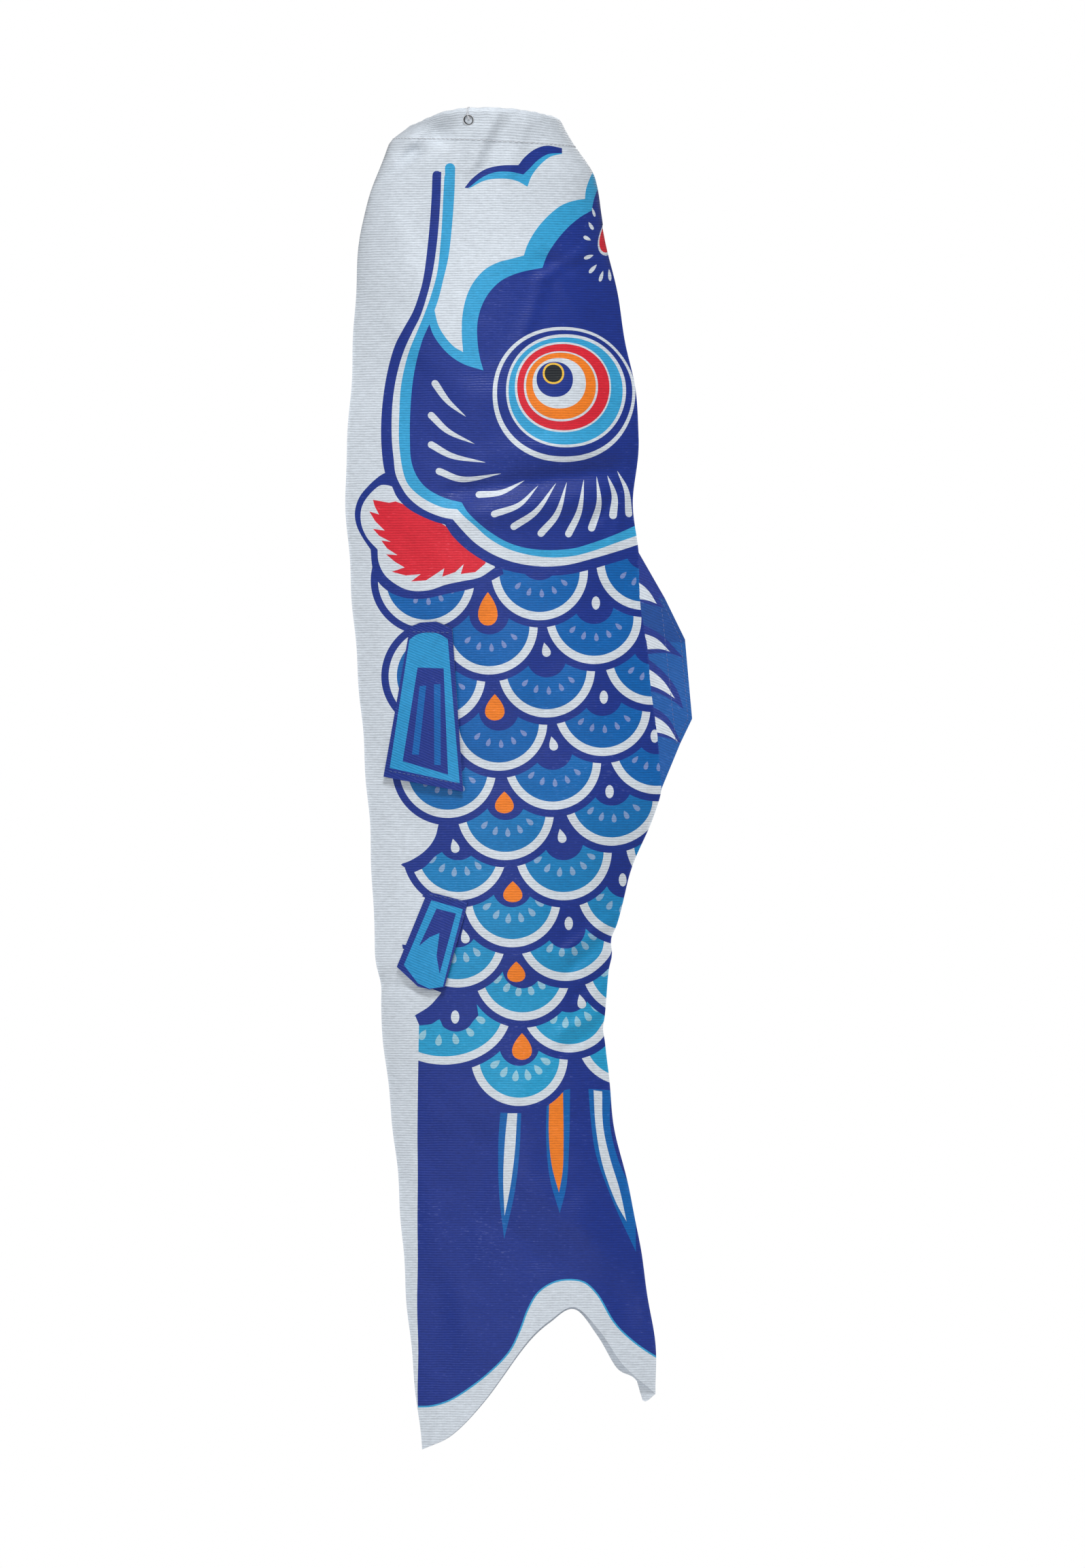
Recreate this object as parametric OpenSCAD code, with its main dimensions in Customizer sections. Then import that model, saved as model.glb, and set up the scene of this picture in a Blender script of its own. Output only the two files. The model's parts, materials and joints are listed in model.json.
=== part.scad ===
// Carp streamer: a printed cloth sleeve, open at both ends, that hangs from a wire hoop sewn into its
// mouth. Z is up and the mouth is at the top. The fish's left side faces -Y, its belly -X and its back
// +X. The origin is the middle of the mouth, level with the top of the rim.

/* [Sleeve] */
// Length from the top of the rim to the longer tail tip
sleeve_length = 700; // [640:10:800]
// Width of the mouth from belly to back
mouth_width = 77; // [72:1:84]
// Depth of the mouth from the left side to the right side
mouth_depth = 78; // [72:1:84]
// How far the rim droops at the belly
belly_droop = 8; // [4:0.5:10]
// How far the rim droops at the back
back_droop = 4; // [2:0.5:6]
// Thickness of the cloth
cloth = 0.8; // [0.6:0.1:1]

/* [Mouth] */
// Height of the folded hem that holds the hoop, along the cloth
hem_height = 16; // [14:0.5:18]
// Diameter of the hoop's wire
wire_d = 1.8; // [1.2:0.1:1.8]
// Outside diameter of the ferrule that joins the hoop's ends
ferrule_d = 2.8; // [2.8:0.1:3.2]
// Length of the ferrule
ferrule_length = 10; // [6:1:14]
// Bore of each eyelet
eyelet_bore = 4.4; // [3.6:0.2:4.6]
// Distance from the rim to the eyelet's centre
eyelet_drop = 6.2; // [6:0.1:7]

/* [Bends] */
// Distance from the rim to the bend between fore body and middle body
body_bend_drop = 387; // [380:1:395]
// Largest bend each way there, in degrees
body_bend_angle = 30; // [10:5:40]
// Distance from the rim to the bend between middle body and tail
tail_bend_drop = 530; // [515:1:545]
// Largest bend each way there, in degrees
tail_bend_angle = 40; // [10:5:50]

/* [Fins] */
// Distance from the rim to the top edge of the pectoral fins
pectoral_drop = 270; // [262:1:276]
// Length of a pectoral fin
pectoral_length = 84; // [60:1:86]
// Distance from the rim to the middle of the top edge of the pelvic fins
pelvic_drop = 411; // [408:1:415]
// Slope of that edge, in degrees
pelvic_slope = 14.4; // [0:0.1:20]
// Distance of the dorsal fin's base outside the back seam
dorsal_gap = 1.2; // [1:0.1:2]

/* [Hidden] */

white = "#dfe6ec";
navy = "#2b3a94";
sky = "#39a9d6";
blue = "#0a5fa8";
steel = "#9aa3ab";

k = sleeve_length / 700;
clearance = 0.3;
seam_gap = 0.05;

// Half the mouth, in the units of the tables below
half_mouth = mouth_width / 2 / k;

// Each table holds [distance below the rim, value] for a sleeve 700 long.
// Belly edge of the flattened sleeve
BELLY_LINE = [
    [0, -half_mouth], [8, -38.5], [18, -49], [33, -56.4], [48, -62], [67, -65.5], [103, -68.3],
    [156, -71.2], [200, -73.1], [245, -70.8], [298, -66.2], [351, -62.6], [387, -59.7], [422, -58.5],
    [475, -54.5], [529, -48.7], [600, -42.7], [653, -38.5], [700, -33.3]
];
// Back edge, with the shoulder behind the eye and the corner below the dorsal fin
BACK_LINE = [
    [0, half_mouth], [4, 38.5], [17, 45.5], [32, 55.7], [40, 58.2], [54, 60.2], [85, 66.2], [120, 73.3],
    [172, 80.3], [205, 77.4], [229, 78.8], [290, 85.3], [351, 91.8], [369, 87], [404, 74.8],
    [440, 65.2], [493, 63], [546, 70.5], [600, 82.2], [653, 88.6], [700, 89.5]
];
// Half of the sleeve's depth at its middle
DEPTH_LINE = [
    [0, mouth_depth / 2 / k], [20, 33.5], [50, 28.5], [100, 26.5], [160, 25.5], [230, 23], [300, 21],
    [387, 18], [440, 16], [500, 14], [560, 12.5], [640, 10], [700, 8]
];
// Forked tail edge as [place across from belly -1 to back 1, distance below the rim]
TAIL_EDGE = [
    [-1, 700], [-0.73, 692], [-0.43, 674], [-0.04, 643.5], [0.16, 632.5], [0.38, 625.5],
    [0.565, 638], [0.73, 655.5], [1, 671]
];

// Smooth curve through the points of a table
function span_at(table, x, i = 0) =
    (i >= len(table) - 2 || x <= table[i + 1][0]) ? i : span_at(table, x, i + 1);
function slope_at(table, i) =
    let (a = max(i - 1, 0), b = min(i + 1, len(table) - 1))
    (table[b][1] - table[a][1]) / (table[b][0] - table[a][0]);
function smooth(table, x) =
    let (
        i = span_at(table, x),
        width = table[i + 1][0] - table[i][0],
        f = min(max((x - table[i][0]) / width, 0), 1),
        start = slope_at(table, i) * width,
        end = slope_at(table, i + 1) * width
    )
    table[i][1] * (2 * f ^ 3 - 3 * f ^ 2 + 1) + start * (f ^ 3 - 2 * f ^ 2 + f)
    + table[i + 1][1] * (3 * f ^ 2 - 2 * f ^ 3) + end * (f ^ 3 - f ^ 2);

function belly(drop) = k * smooth(BELLY_LINE, drop / k);
function back(drop) = k * smooth(BACK_LINE, drop / k);
function half_depth(drop) = k * smooth(DEPTH_LINE, drop / k);

// The section is an ellipse at the mouth and turns into a pointed lens behind the head
lens_from = 150 * k;
function section_power(drop) =
    let (f = min(max(drop / lens_from, 0), 1))
    0.5 + 0.5 * f * f * (3 - 2 * f);

// Distance below the origin of the rim, at a place across from -1 at the belly to 1 at the back
function rim(across) = (across < 0 ? belly_droop : back_droop) * across ^ 2;
// The cloth slopes outward at the mouth's two ends, so that a length along it drops less there
end_slope = 0.28;
function drop_along(across, below) = rim(across) + below * (1 - end_slope * across ^ 2);

// A point of the left side's surface, moved inward by inset
function skin(across, drop, inset = 0) =
    let (
        low = belly(drop) + inset,
        high = back(drop) - inset,
        bulge = (half_depth(drop) - inset) * max(1 - across ^ 2, 0) ^ section_power(drop)
    )
    [(low + high) / 2 + (high - low) / 2 * across, -max(bulge, seam_gap), -drop];
function across_at(x, drop) = (2 * x - belly(drop) - back(drop)) / (back(drop) - belly(drop));
function surface_y(x, drop) = skin(across_at(x, drop), drop)[1];

// A point of the mouth's ring: angle 0 is at the back and 90 in the middle of the right side
function mouth_point(angle, inset, below) =
    let (across = cos(angle), point = skin(across, drop_along(across, below), inset))
    [point[0], abs(sin(angle)) < 0.001 ? 0 : -sign(sin(angle)) * point[1], point[2]];

// Solid between matching rows of points that close on themselves round each row
module loft(rows, closed = false) {
    count = len(rows[0]);
    last = len(rows) - 1;
    function ring_cell(a, b, i) =
        let (j = (i + 1) % count)
        [[a * count + i, b * count + i, b * count + j], [a * count + i, b * count + j, a * count + j]];
    walls = [
        for (r = [0:closed ? last : last - 1], i = [0:count - 1])
            each ring_cell(r, (r + 1) % (last + 1), i)
    ];
    caps = closed ? [] : [
        [for (i = [0:count - 1]) i],
        [for (i = [count - 1:-1:0]) last * count + i]
    ];
    polyhedron(points = [for (row = rows) each row], faces = concat(walls, caps), convexity = 8);
}

COLUMNS = 18;
PLACES = [for (i = [0:COLUMNS]) -cos(180 * i / COLUMNS)];

// One side of a stretch of the sleeve, between a top and a bottom edge given at each place across
module side_panel(tops, bottoms, rows) {
    count = COLUMNS + 1;
    outer = [
        for (r = [0:rows], i = [0:COLUMNS])
            skin(PLACES[i], tops[i] + (bottoms[i] - tops[i]) * r / rows)
    ];
    inner = [
        for (r = [0:rows], i = [0:COLUMNS])
            skin(PLACES[i], tops[i] + (bottoms[i] - tops[i]) * r / rows, cloth)
    ];
    size = len(outer);
    function cell(a, b, c, d) = [[a, b, c], [a, c, d]];
    outer_faces = [
        for (r = [0:rows - 1], i = [0:COLUMNS - 1])
            let (a = r * count + i)
            each cell(a, a + 1, a + count + 1, a + count)
    ];
    inner_faces = [
        for (r = [0:rows - 1], i = [0:COLUMNS - 1])
            let (a = size + r * count + i)
            each cell(a, a + count, a + count + 1, a + 1)
    ];
    belly_faces = [
        for (r = [0:rows - 1])
            let (a = r * count)
            each cell(a, a + count, size + a + count, size + a)
    ];
    back_faces = [
        for (r = [0:rows - 1])
            let (a = r * count + COLUMNS)
            each cell(a, size + a, size + a + count, a + count)
    ];
    top_faces = [for (i = [0:COLUMNS - 1]) each cell(i, size + i, size + i + 1, i + 1)];
    end = rows * count;
    bottom_faces = [
        for (i = [0:COLUMNS - 1])
            each cell(end + i, end + i + 1, size + end + i + 1, size + end + i)
    ];
    polyhedron(
        points = concat(outer, inner),
        faces = concat(outer_faces, inner_faces, belly_faces, back_faces, top_faces, bottom_faces),
        convexity = 8
    );
}

// Edges on the two sides of a bend, cut back so that the stretches never meet over its travel
function above_bend(drop, angle) = [
    for (u = PLACES) drop - clearance + skin(u, drop)[1] * tan(angle / 2)
];
function below_bend(drop, angle) = [
    for (u = PLACES) drop + clearance - skin(u, drop)[1] * tan(angle / 2)
];
hem_bottoms = [for (u = PLACES) drop_along(u, hem_height) + clearance];
fore_bottoms = above_bend(body_bend_drop, body_bend_angle);
middle_tops = below_bend(body_bend_drop, body_bend_angle);
middle_bottoms = above_bend(tail_bend_drop, tail_bend_angle);
tail_tops = below_bend(tail_bend_drop, tail_bend_angle);
tail_bottoms = [for (u = PLACES) k * smooth(TAIL_EDGE, u)];

// Seam allowance: a narrow strip inside the sleeve, along the belly (side -1) or the back (side 1)
seam_ply = 0.4;
seam_inset = 2.8;
seam_width = 6;
SEAM_STEPS = 24;
module seam_strip(side, top, bottom) {
    function section(drop) =
        let (
            edge = side < 0 ? belly(drop) : back(drop),
            near = edge - side * seam_inset,
            far = near - side * seam_width,
            half = seam_ply / 2,
            ends = side < 0 ? [near, far] : [far, near]
        )
        [[ends[0], -half, -drop], [ends[1], -half, -drop], [ends[1], half, -drop], [ends[0], half, -drop]];
    loft([for (i = [0:SEAM_STEPS]) section(bottom + (top - bottom) * i / SEAM_STEPS)]);
}

// Round bar along the middle of the hem's channel
CHANNEL_WIDTH = 4.2;
wire_inset = cloth + CHANNEL_WIDTH / 2;
wire_below = (cloth + ferrule_d / 2 + clearance) / (1 - end_slope);
WIRE_SIDES = 10;
function wire_point(angle) = mouth_point(angle, wire_inset, wire_below);
function unit(v) = v / norm(v);
function wire_ring(angle, radius) =
    let (
        along = unit(wire_point(angle + 0.5) - wire_point(angle - 0.5)),
        sideways = unit(cross([0, 0, 1], along)),
        up = cross(along, sideways)
    )
    [
        for (i = [0:WIRE_SIDES - 1])
            let (turn = 360 * i / WIRE_SIDES)
            wire_point(angle) + radius * (cos(turn) * sideways + sin(turn) * up)
    ];
module bar(radius, from, to, steps) {
    loft([for (i = [0:steps]) wire_ring(from + (to - from) * i / steps, radius)]);
}

module mouth_hoop() {
    split = 1.5;
    color(steel) bar(wire_d / 2, split, 360 - split, 72);
}

module hoop_ferrule() {
    half_turn = ferrule_length / mouth_depth * 180 / PI;
    color(steel)
        difference() {
            bar(ferrule_d / 2, -half_turn, half_turn, 6);
            bar(wire_d / 2 + 0.15, -half_turn - 2, half_turn + 2, 8);
        }
}

// The hem: cloth turned over the hoop and sewn down at its lower edge
HEM_STEPS = 60;
function hem_wall(inset, from, to) = [for (i = [0:5]) [inset, from + (to - from) * i / 5]];
module hem_ring(profile) {
    loft(
        [for (i = [0:HEM_STEPS - 1]) [for (p = profile) mouth_point(360 * i / HEM_STEPS, p[0], p[1])]],
        closed = true
    );
}
module mouth_hem() {
    shoulder = wire_below + clearance;
    depth = CHANNEL_WIDTH + 2 * cloth;
    color(white)
        difference() {
            hem_ring(concat(
                hem_wall(0, 0, hem_height),
                [[2 * cloth + 0.2, hem_height], [depth, shoulder], [depth, 0]]
            ));
            hem_ring(concat(
                hem_wall(cloth, cloth, hem_height - 1.2),
                [[cloth + 0.2, hem_height - 1.2], [depth - cloth, shoulder], [depth - cloth, cloth]]
            ));
            eyelet_place() eyelet_hole();
            mirror([0, 1, 0]) eyelet_place() eyelet_hole();
        }
}

// Eyelets: a rolled ring through the outer layer of the hem, one in each side, square to the cloth
eyelet_x = -8.7;
eyelet_wall = 0.4;
eyelet_flange = 0.8;
eyelet_plate = 0.5;
eyelet_reach = 2.4;
eyelet_proud = 0.75;
eyelet_spot = [eyelet_x, surface_y(eyelet_x, eyelet_drop), -eyelet_drop];
eyelet_inward =
    let (
        sideways = [2, surface_y(eyelet_x + 1, eyelet_drop) - surface_y(eyelet_x - 1, eyelet_drop), 0],
        down = [0, surface_y(eyelet_x, eyelet_drop + 1) - surface_y(eyelet_x, eyelet_drop - 1), -2]
    )
    unit(cross(sideways, down));
module eyelet_place() {
    translate(eyelet_spot - eyelet_proud * eyelet_inward)
        rotate([0, acos(eyelet_inward[2]), atan2(eyelet_inward[1], eyelet_inward[0])])
            children();
}
module eyelet_hole() {
    translate([0, 0, -1]) cylinder(r = eyelet_bore / 2 + eyelet_wall + 0.2, h = eyelet_reach + 1, $fn = 48);
}
module eyelet() {
    bore = eyelet_bore / 2;
    rotate_extrude($fn = 64)
        polygon([
            [bore, 0],
            [bore + eyelet_flange, 0],
            [bore + eyelet_flange, eyelet_plate],
            [bore + eyelet_wall, eyelet_plate],
            [bore + eyelet_wall, eyelet_reach - eyelet_plate],
            [bore + eyelet_wall + 0.4, eyelet_reach - eyelet_plate],
            [bore + eyelet_wall + 0.4, eyelet_reach],
            [bore, eyelet_reach]
        ]);
}
module front_eyelet() {
    color(white) eyelet_place() eyelet();
}
module back_eyelet() {
    color(white) mirror([0, 1, 0]) eyelet_place() eyelet();
}

module fore_panel() {
    color(navy) side_panel(hem_bottoms, fore_bottoms, 24);
}
module middle_panel() {
    color(navy) side_panel(middle_tops, middle_bottoms, 7);
}
module tail_panel() {
    color(navy) side_panel(tail_tops, tail_bottoms, 9);
}
module left_fore_panel() {
    fore_panel();
}
module right_fore_panel() {
    mirror([0, 1, 0]) fore_panel();
}
module left_middle_panel() {
    middle_panel();
}
module right_middle_panel() {
    mirror([0, 1, 0]) middle_panel();
}
module left_tail_panel() {
    tail_panel();
}
module right_tail_panel() {
    mirror([0, 1, 0]) tail_panel();
}

seam_end = 3;
module back_seam_fore() {
    color(white) seam_strip(1, back_droop + hem_height + seam_end, body_bend_drop - seam_end);
}
module belly_seam_fore() {
    color(white) seam_strip(-1, belly_droop + hem_height + seam_end, body_bend_drop - seam_end);
}
module back_seam_middle() {
    color(white) seam_strip(1, body_bend_drop + seam_end, tail_bend_drop - seam_end);
}
module belly_seam_middle() {
    color(white) seam_strip(-1, body_bend_drop + seam_end, tail_bend_drop - seam_end);
}
module back_seam_tail() {
    color(white) seam_strip(1, tail_bend_drop + seam_end, 655 * k);
}
module belly_seam_tail() {
    color(white) seam_strip(-1, tail_bend_drop + seam_end, 690 * k);
}

// Dorsal fin: two plies of cloth whose straight base lies just outside the back seam
dorsal_top = 229 * k;
dorsal_bottom = 351 * k;
dorsal_lean = atan2(back(dorsal_bottom) - back(dorsal_top), dorsal_bottom - dorsal_top);
DORSAL_OUTLINE = [[0, -1], [10.8, 27.3], [19, 50], [18.3, 91.5], [10.8, 103.7], [0, 127]];
module dorsal_fin() {
    color(blue)
        translate([back(dorsal_top) + dorsal_gap, 0, -dorsal_top])
            rotate([0, -dorsal_lean, 0])
                rotate([90, 0, 0])
                    linear_extrude(cloth, center = true)
                        polygon([for (p = DORSAL_OUTLINE) [p[0] * k, -p[1] * k]]);
}

// A flap that hangs from the left side's surface at (x, drop), flat and upright along the cloth
module hang_flap(x, drop) {
    step = 2;
    turn = atan2(surface_y(x + step, drop) - surface_y(x - step, drop), 2 * step);
    translate([x, surface_y(x, drop) - cloth, -drop])
        rotate([0, 0, turn])
            rotate([90, 0, 0])
                linear_extrude(cloth) children();
}

pectoral_x = -28.5 * k;
module pectoral_fin() {
    color(sky)
        hang_flap(pectoral_x, pectoral_drop)
            polygon([
                [-11, 0],
                [11, 0],
                [17.5, -pectoral_length],
                [-25.5, -pectoral_length * 0.93]
            ]);
}
module left_pectoral_fin() {
    pectoral_fin();
}
module right_pectoral_fin() {
    mirror([0, 1, 0]) pectoral_fin();
}

pelvic_x = -20.1 * k;
module pelvic_fin() {
    color(sky)
        hang_flap(pelvic_x, pelvic_drop)
            rotate(-pelvic_slope)
                polygon([[-11, 0], [11, 0], [10, -46], [3, -48.8], [-3.2, -48.9], [-16.2, -41.8]]);
}
module left_pelvic_fin() {
    pelvic_fin();
}
module right_pelvic_fin() {
    mirror([0, 1, 0]) pelvic_fin();
}

mouth_hoop();
hoop_ferrule();
mouth_hem();
front_eyelet();
back_eyelet();
left_fore_panel();
right_fore_panel();
back_seam_fore();
belly_seam_fore();
left_middle_panel();
right_middle_panel();
back_seam_middle();
belly_seam_middle();
left_tail_panel();
right_tail_panel();
back_seam_tail();
belly_seam_tail();
dorsal_fin();
left_pectoral_fin();
right_pectoral_fin();
left_pelvic_fin();
right_pelvic_fin();
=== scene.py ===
"""Looks of the carp streamer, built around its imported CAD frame.

Lengths below are in millimetres and turn into metres when a mesh is made. A place on the fish's side is
(x, d): x as in the frame, belly to back, and d the distance below the top of the rim.
"""

import json
import math

import bpy
import numpy as np
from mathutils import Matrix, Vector
from mathutils.geometry import delaunay_2d_cdt

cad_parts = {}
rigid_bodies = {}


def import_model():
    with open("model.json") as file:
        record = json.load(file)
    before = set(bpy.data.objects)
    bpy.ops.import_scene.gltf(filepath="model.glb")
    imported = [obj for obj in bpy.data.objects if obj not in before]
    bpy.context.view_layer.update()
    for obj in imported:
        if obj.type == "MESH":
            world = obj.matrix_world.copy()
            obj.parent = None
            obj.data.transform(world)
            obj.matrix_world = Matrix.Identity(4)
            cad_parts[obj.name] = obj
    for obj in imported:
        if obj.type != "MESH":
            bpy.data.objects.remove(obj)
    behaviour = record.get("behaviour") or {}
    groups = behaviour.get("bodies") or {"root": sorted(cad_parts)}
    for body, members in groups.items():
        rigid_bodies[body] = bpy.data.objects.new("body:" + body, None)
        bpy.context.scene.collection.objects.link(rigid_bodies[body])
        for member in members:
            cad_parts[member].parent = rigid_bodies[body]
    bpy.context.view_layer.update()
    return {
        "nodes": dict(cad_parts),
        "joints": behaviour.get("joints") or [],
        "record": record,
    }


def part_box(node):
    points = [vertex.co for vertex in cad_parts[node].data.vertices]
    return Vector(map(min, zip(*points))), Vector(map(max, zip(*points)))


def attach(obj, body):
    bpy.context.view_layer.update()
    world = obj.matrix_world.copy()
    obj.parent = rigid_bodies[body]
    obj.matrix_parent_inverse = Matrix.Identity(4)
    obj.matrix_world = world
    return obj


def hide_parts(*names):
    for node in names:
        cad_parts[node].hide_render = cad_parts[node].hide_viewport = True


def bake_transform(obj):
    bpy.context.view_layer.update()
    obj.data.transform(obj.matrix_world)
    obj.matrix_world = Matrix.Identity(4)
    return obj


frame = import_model()

MM = 0.001
CLOTH = 0.3
FIN_THICKNESS = 0.5
HEM_TURN = 16.0

WHITE = (0.67, 0.73, 0.80)
NAVY = (0.0086, 0.0320, 0.2604)
SKY = (0.035, 0.37, 0.68)
FIN_SKY = (0.018, 0.30, 0.62)
BLUE = (0.0, 0.125, 0.44)
TAIL_BLUE = (0.015, 0.34, 0.62)
FIN_BLUE = (0.004, 0.065, 0.30)
FIN_PALE_BLUE = (0.005, 0.10, 0.38)
RED = (0.72, 0.016, 0.037)
ORANGE = (0.91, 0.22, 0.015)
YELLOW = (0.90, 0.55, 0.06)
BLACK = (0.012, 0.016, 0.020)
LILAC = (0.20, 0.28, 0.58)
MIST = (0.30, 0.58, 0.72)

# ---------------------------------------------------------------- the sleeve's shape

BELLY_LINE = [
    (0, -38.5), (8, -38.5), (18, -49), (33, -56.4), (48, -62), (67, -65.5), (103, -68.3), (156, -71.2),
    (200, -73.1), (245, -70.8), (298, -66.2), (351, -62.6), (387, -59.7), (422, -58.5), (475, -54.5),
    (529, -48.7), (600, -42.7), (653, -38.5), (700, -33.3),
]
BACK_LINE = [
    (0, 38.5), (4, 38.5), (17, 45.5), (32, 55.7), (40, 58.2), (54, 60.2), (85, 66.2), (120, 73.3),
    (172, 80.3), (205, 77.4), (229, 78.8), (290, 85.3), (351, 91.8), (369, 87), (404, 74.8), (440, 65.2),
    (493, 63), (546, 70.5), (600, 82.2), (653, 88.6), (700, 89.5),
]
DEPTH_LINE = [
    (0, 39), (20, 33.5), (50, 28.5), (100, 26.5), (160, 25.5), (230, 23), (300, 21), (387, 18),
    (440, 16), (500, 14), (560, 12.5), (640, 10), (700, 8),
]
LEFT_TAIL_EDGE = [
    (-1, 700), (-0.73, 692), (-0.43, 674), (-0.04, 643.5), (0.16, 632.5), (0.38, 625.5), (0.565, 638),
    (0.73, 655.5), (1, 671),
]
RIGHT_TAIL_EDGE = [
    (-1, 700), (-0.73, 692.5), (-0.43, 675), (-0.04, 645), (0.16, 634), (0.38, 627), (0.55, 641.5),
    (0.68, 657.5), (0.84, 664), (0.89, 674.5), (1, 671),
]


def smooth(table, x):
    """A smooth curve through a table's points, read at x."""
    t = np.asarray(table, float)
    slope = np.empty(len(t))
    slope[1:-1] = (t[2:, 1] - t[:-2, 1]) / (t[2:, 0] - t[:-2, 0])
    slope[0] = (t[1, 1] - t[0, 1]) / (t[1, 0] - t[0, 0])
    slope[-1] = (t[-1, 1] - t[-2, 1]) / (t[-1, 0] - t[-2, 0])
    x = np.asarray(x, float)
    i = np.clip(np.searchsorted(t[:, 0], x, side="left") - 1, 0, len(t) - 2)
    width = t[i + 1, 0] - t[i, 0]
    f = np.clip((x - t[i, 0]) / width, 0, 1)
    rise = t[i, 1] * (2 * f**3 - 3 * f**2 + 1) + t[i + 1, 1] * (3 * f**2 - 2 * f**3)
    return rise + width * (slope[i] * (f**3 - 2 * f**2 + f) + slope[i + 1] * (f**3 - f**2))


def belly(d):
    """The sleeve's belly edge at a drop."""
    return smooth(BELLY_LINE, d)


def back(d):
    """The sleeve's back edge at a drop."""
    return smooth(BACK_LINE, d)


def across(x, d):
    """Where x is between belly (-1) and back (1)."""
    low, high = belly(d), back(d)
    return np.clip((2 * x - low - high) / (high - low), -1, 1)


def bulge(x, d):
    """The sleeve's smooth half depth."""
    f = np.clip(d / 150, 0, 1)
    power = 0.5 + 0.5 * f * f * (3 - 2 * f)
    return smooth(DEPTH_LINE, d) * (1 - across(x, d) ** 2) ** power


def stitch_drop(u):
    """Where the hem's stitch line lies."""
    return 17.6 + 2.2 * u


# Folds: from (x, d) to (x, d), half width, height; a negative height is a valley
LEFT_FOLDS = [
    (-37, 23, -62, 45, 3.4, -4.6), (-40, 17, -60, 31, 4.4, 2.8), (-26, 14, -43, 21, 6.0, -5.4),
    (7, 1, -7, 30, 3.2, 1.3), (12, 2, 0, 30, 4.0, -1.3), (-6, 12, -26, 50, 4.0, 0.9),
    (22, 6, 12, 34, 3.6, 0.8), (34, 80, 39, 81, 5.0, -2.2), (30, 88, 52, 74, 3.4, 1.2),
    (40, 92, 58, 118, 4.0, 1.0), (28, 96, 18, 122, 4.0, 0.8), (-12, 199, 66, 189, 5.5, -3.0),
    (-20, 214, 60, 203, 6.5, 1.8), (20, 178, 76, 176, 6.0, 1.2), (58, 214, 76, 190, 3.2, -1.2),
    (66, 226, 78, 196, 3.0, 1.0), (-58, 452, -44, 444, 3.0, 1.6), (-56, 459, -30, 456, 3.6, -1.4),
    (64, 424, 44, 438, 3.4, 1.5), (66, 432, 46, 447, 3.2, -1.4), (63, 470, 40, 481, 3.0, 1.3),
    (64, 478, 42, 490, 3.2, -1.2), (62, 452, 48, 462, 3.0, -1.0), (-40, 548, -8, 640, 9.0, 1.6),
    (0, 545, -30, 640, 10.0, -1.6), (20, 560, 84, 606, 9.0, 1.5), (10, 585, 70, 622, 8.0, -1.3),
    (-30, 330, 10, 350, 9.0, -1.0), (20, 300, 70, 322, 9.0, 1.0), (-40, 120, -10, 150, 10.0, 0.9),
    (5, 150, 40, 160, 7.0, 0.6), (-46, 60, -30, 110, 7.0, 0.8), (-62, 250, -44, 330, 8.0, 0.9),
]
RIGHT_FOLDS = [
    (-34, 22, -58, 52, 3.6, -2.0), (-30, 12, -50, 30, 5.0, 1.3), (10, 2, -4, 32, 4.0, 1.2),
    (24, 4, 34, 38, 4.0, -1.2), (38, 12, 52, 40, 3.6, 1.4), (30, 96, 60, 84, 4.5, -1.6),
    (20, 108, 64, 100, 5.0, 1.2), (-20, 196, 50, 206, 6.0, -2.0), (-10, 212, 62, 216, 6.0, 1.5),
    (66, 236, 50, 262, 4.0, 1.2), (-56, 300, -30, 320, 6.0, 1.2), (-50, 440, -24, 452, 4.5, -1.6),
    (62, 430, 36, 446, 4.0, -1.5), (64, 440, 34, 458, 4.0, 1.4), (60, 486, 30, 498, 4.0, 1.2),
    (-30, 560, 10, 640, 9.0, 1.5), (60, 560, 20, 610, 9.0, -1.5), (78, 590, 50, 640, 8.0, 1.4),
]


def relief(x, d, side):
    """How far folds and soft waves push the cloth outward.

    The side is -1 for the fish's left and 1 for its right.
    """
    total = np.zeros_like(x)
    for x1, d1, x2, d2, width, height in LEFT_FOLDS if side < 0 else RIGHT_FOLDS:
        dx, dd = x2 - x1, d2 - d1
        length = math.hypot(dx, dd)
        along = ((x - x1) * dx + (d - d1) * dd) / length
        off = ((x - x1) * dd - (d - d1) * dx) / length
        off = off + 0.05 * width * np.sin(along * 0.35)
        past = np.maximum(np.maximum(-along, along - length), 0) / (1.6 * width)
        ends = np.exp(-(past**2))
        total += height * ends * np.exp(-((off / width) ** 2))
    draw = np.random.default_rng(21 if side < 0 else 37)
    for wave, strength in ((95, 0.55), (70, 0.42), (48, 0.30), (33, 0.20), (23, 0.12), (15, 0.07)):
        for _ in range(3):
            angle, phase = draw.uniform(0, math.pi), draw.uniform(0, 2 * math.pi)
            run = (x * math.cos(angle) + d * math.sin(angle)) * 2 * math.pi / wave
            swirl = np.sin(run * 0.37 + phase * 1.7)
            total += strength * 0.6 * np.sin(run + phase + 0.8 * swirl)
    edge = 1 - np.abs(across(x, d)) ** 6
    return total * edge * np.clip(d / 10, 0, 1)


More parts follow.
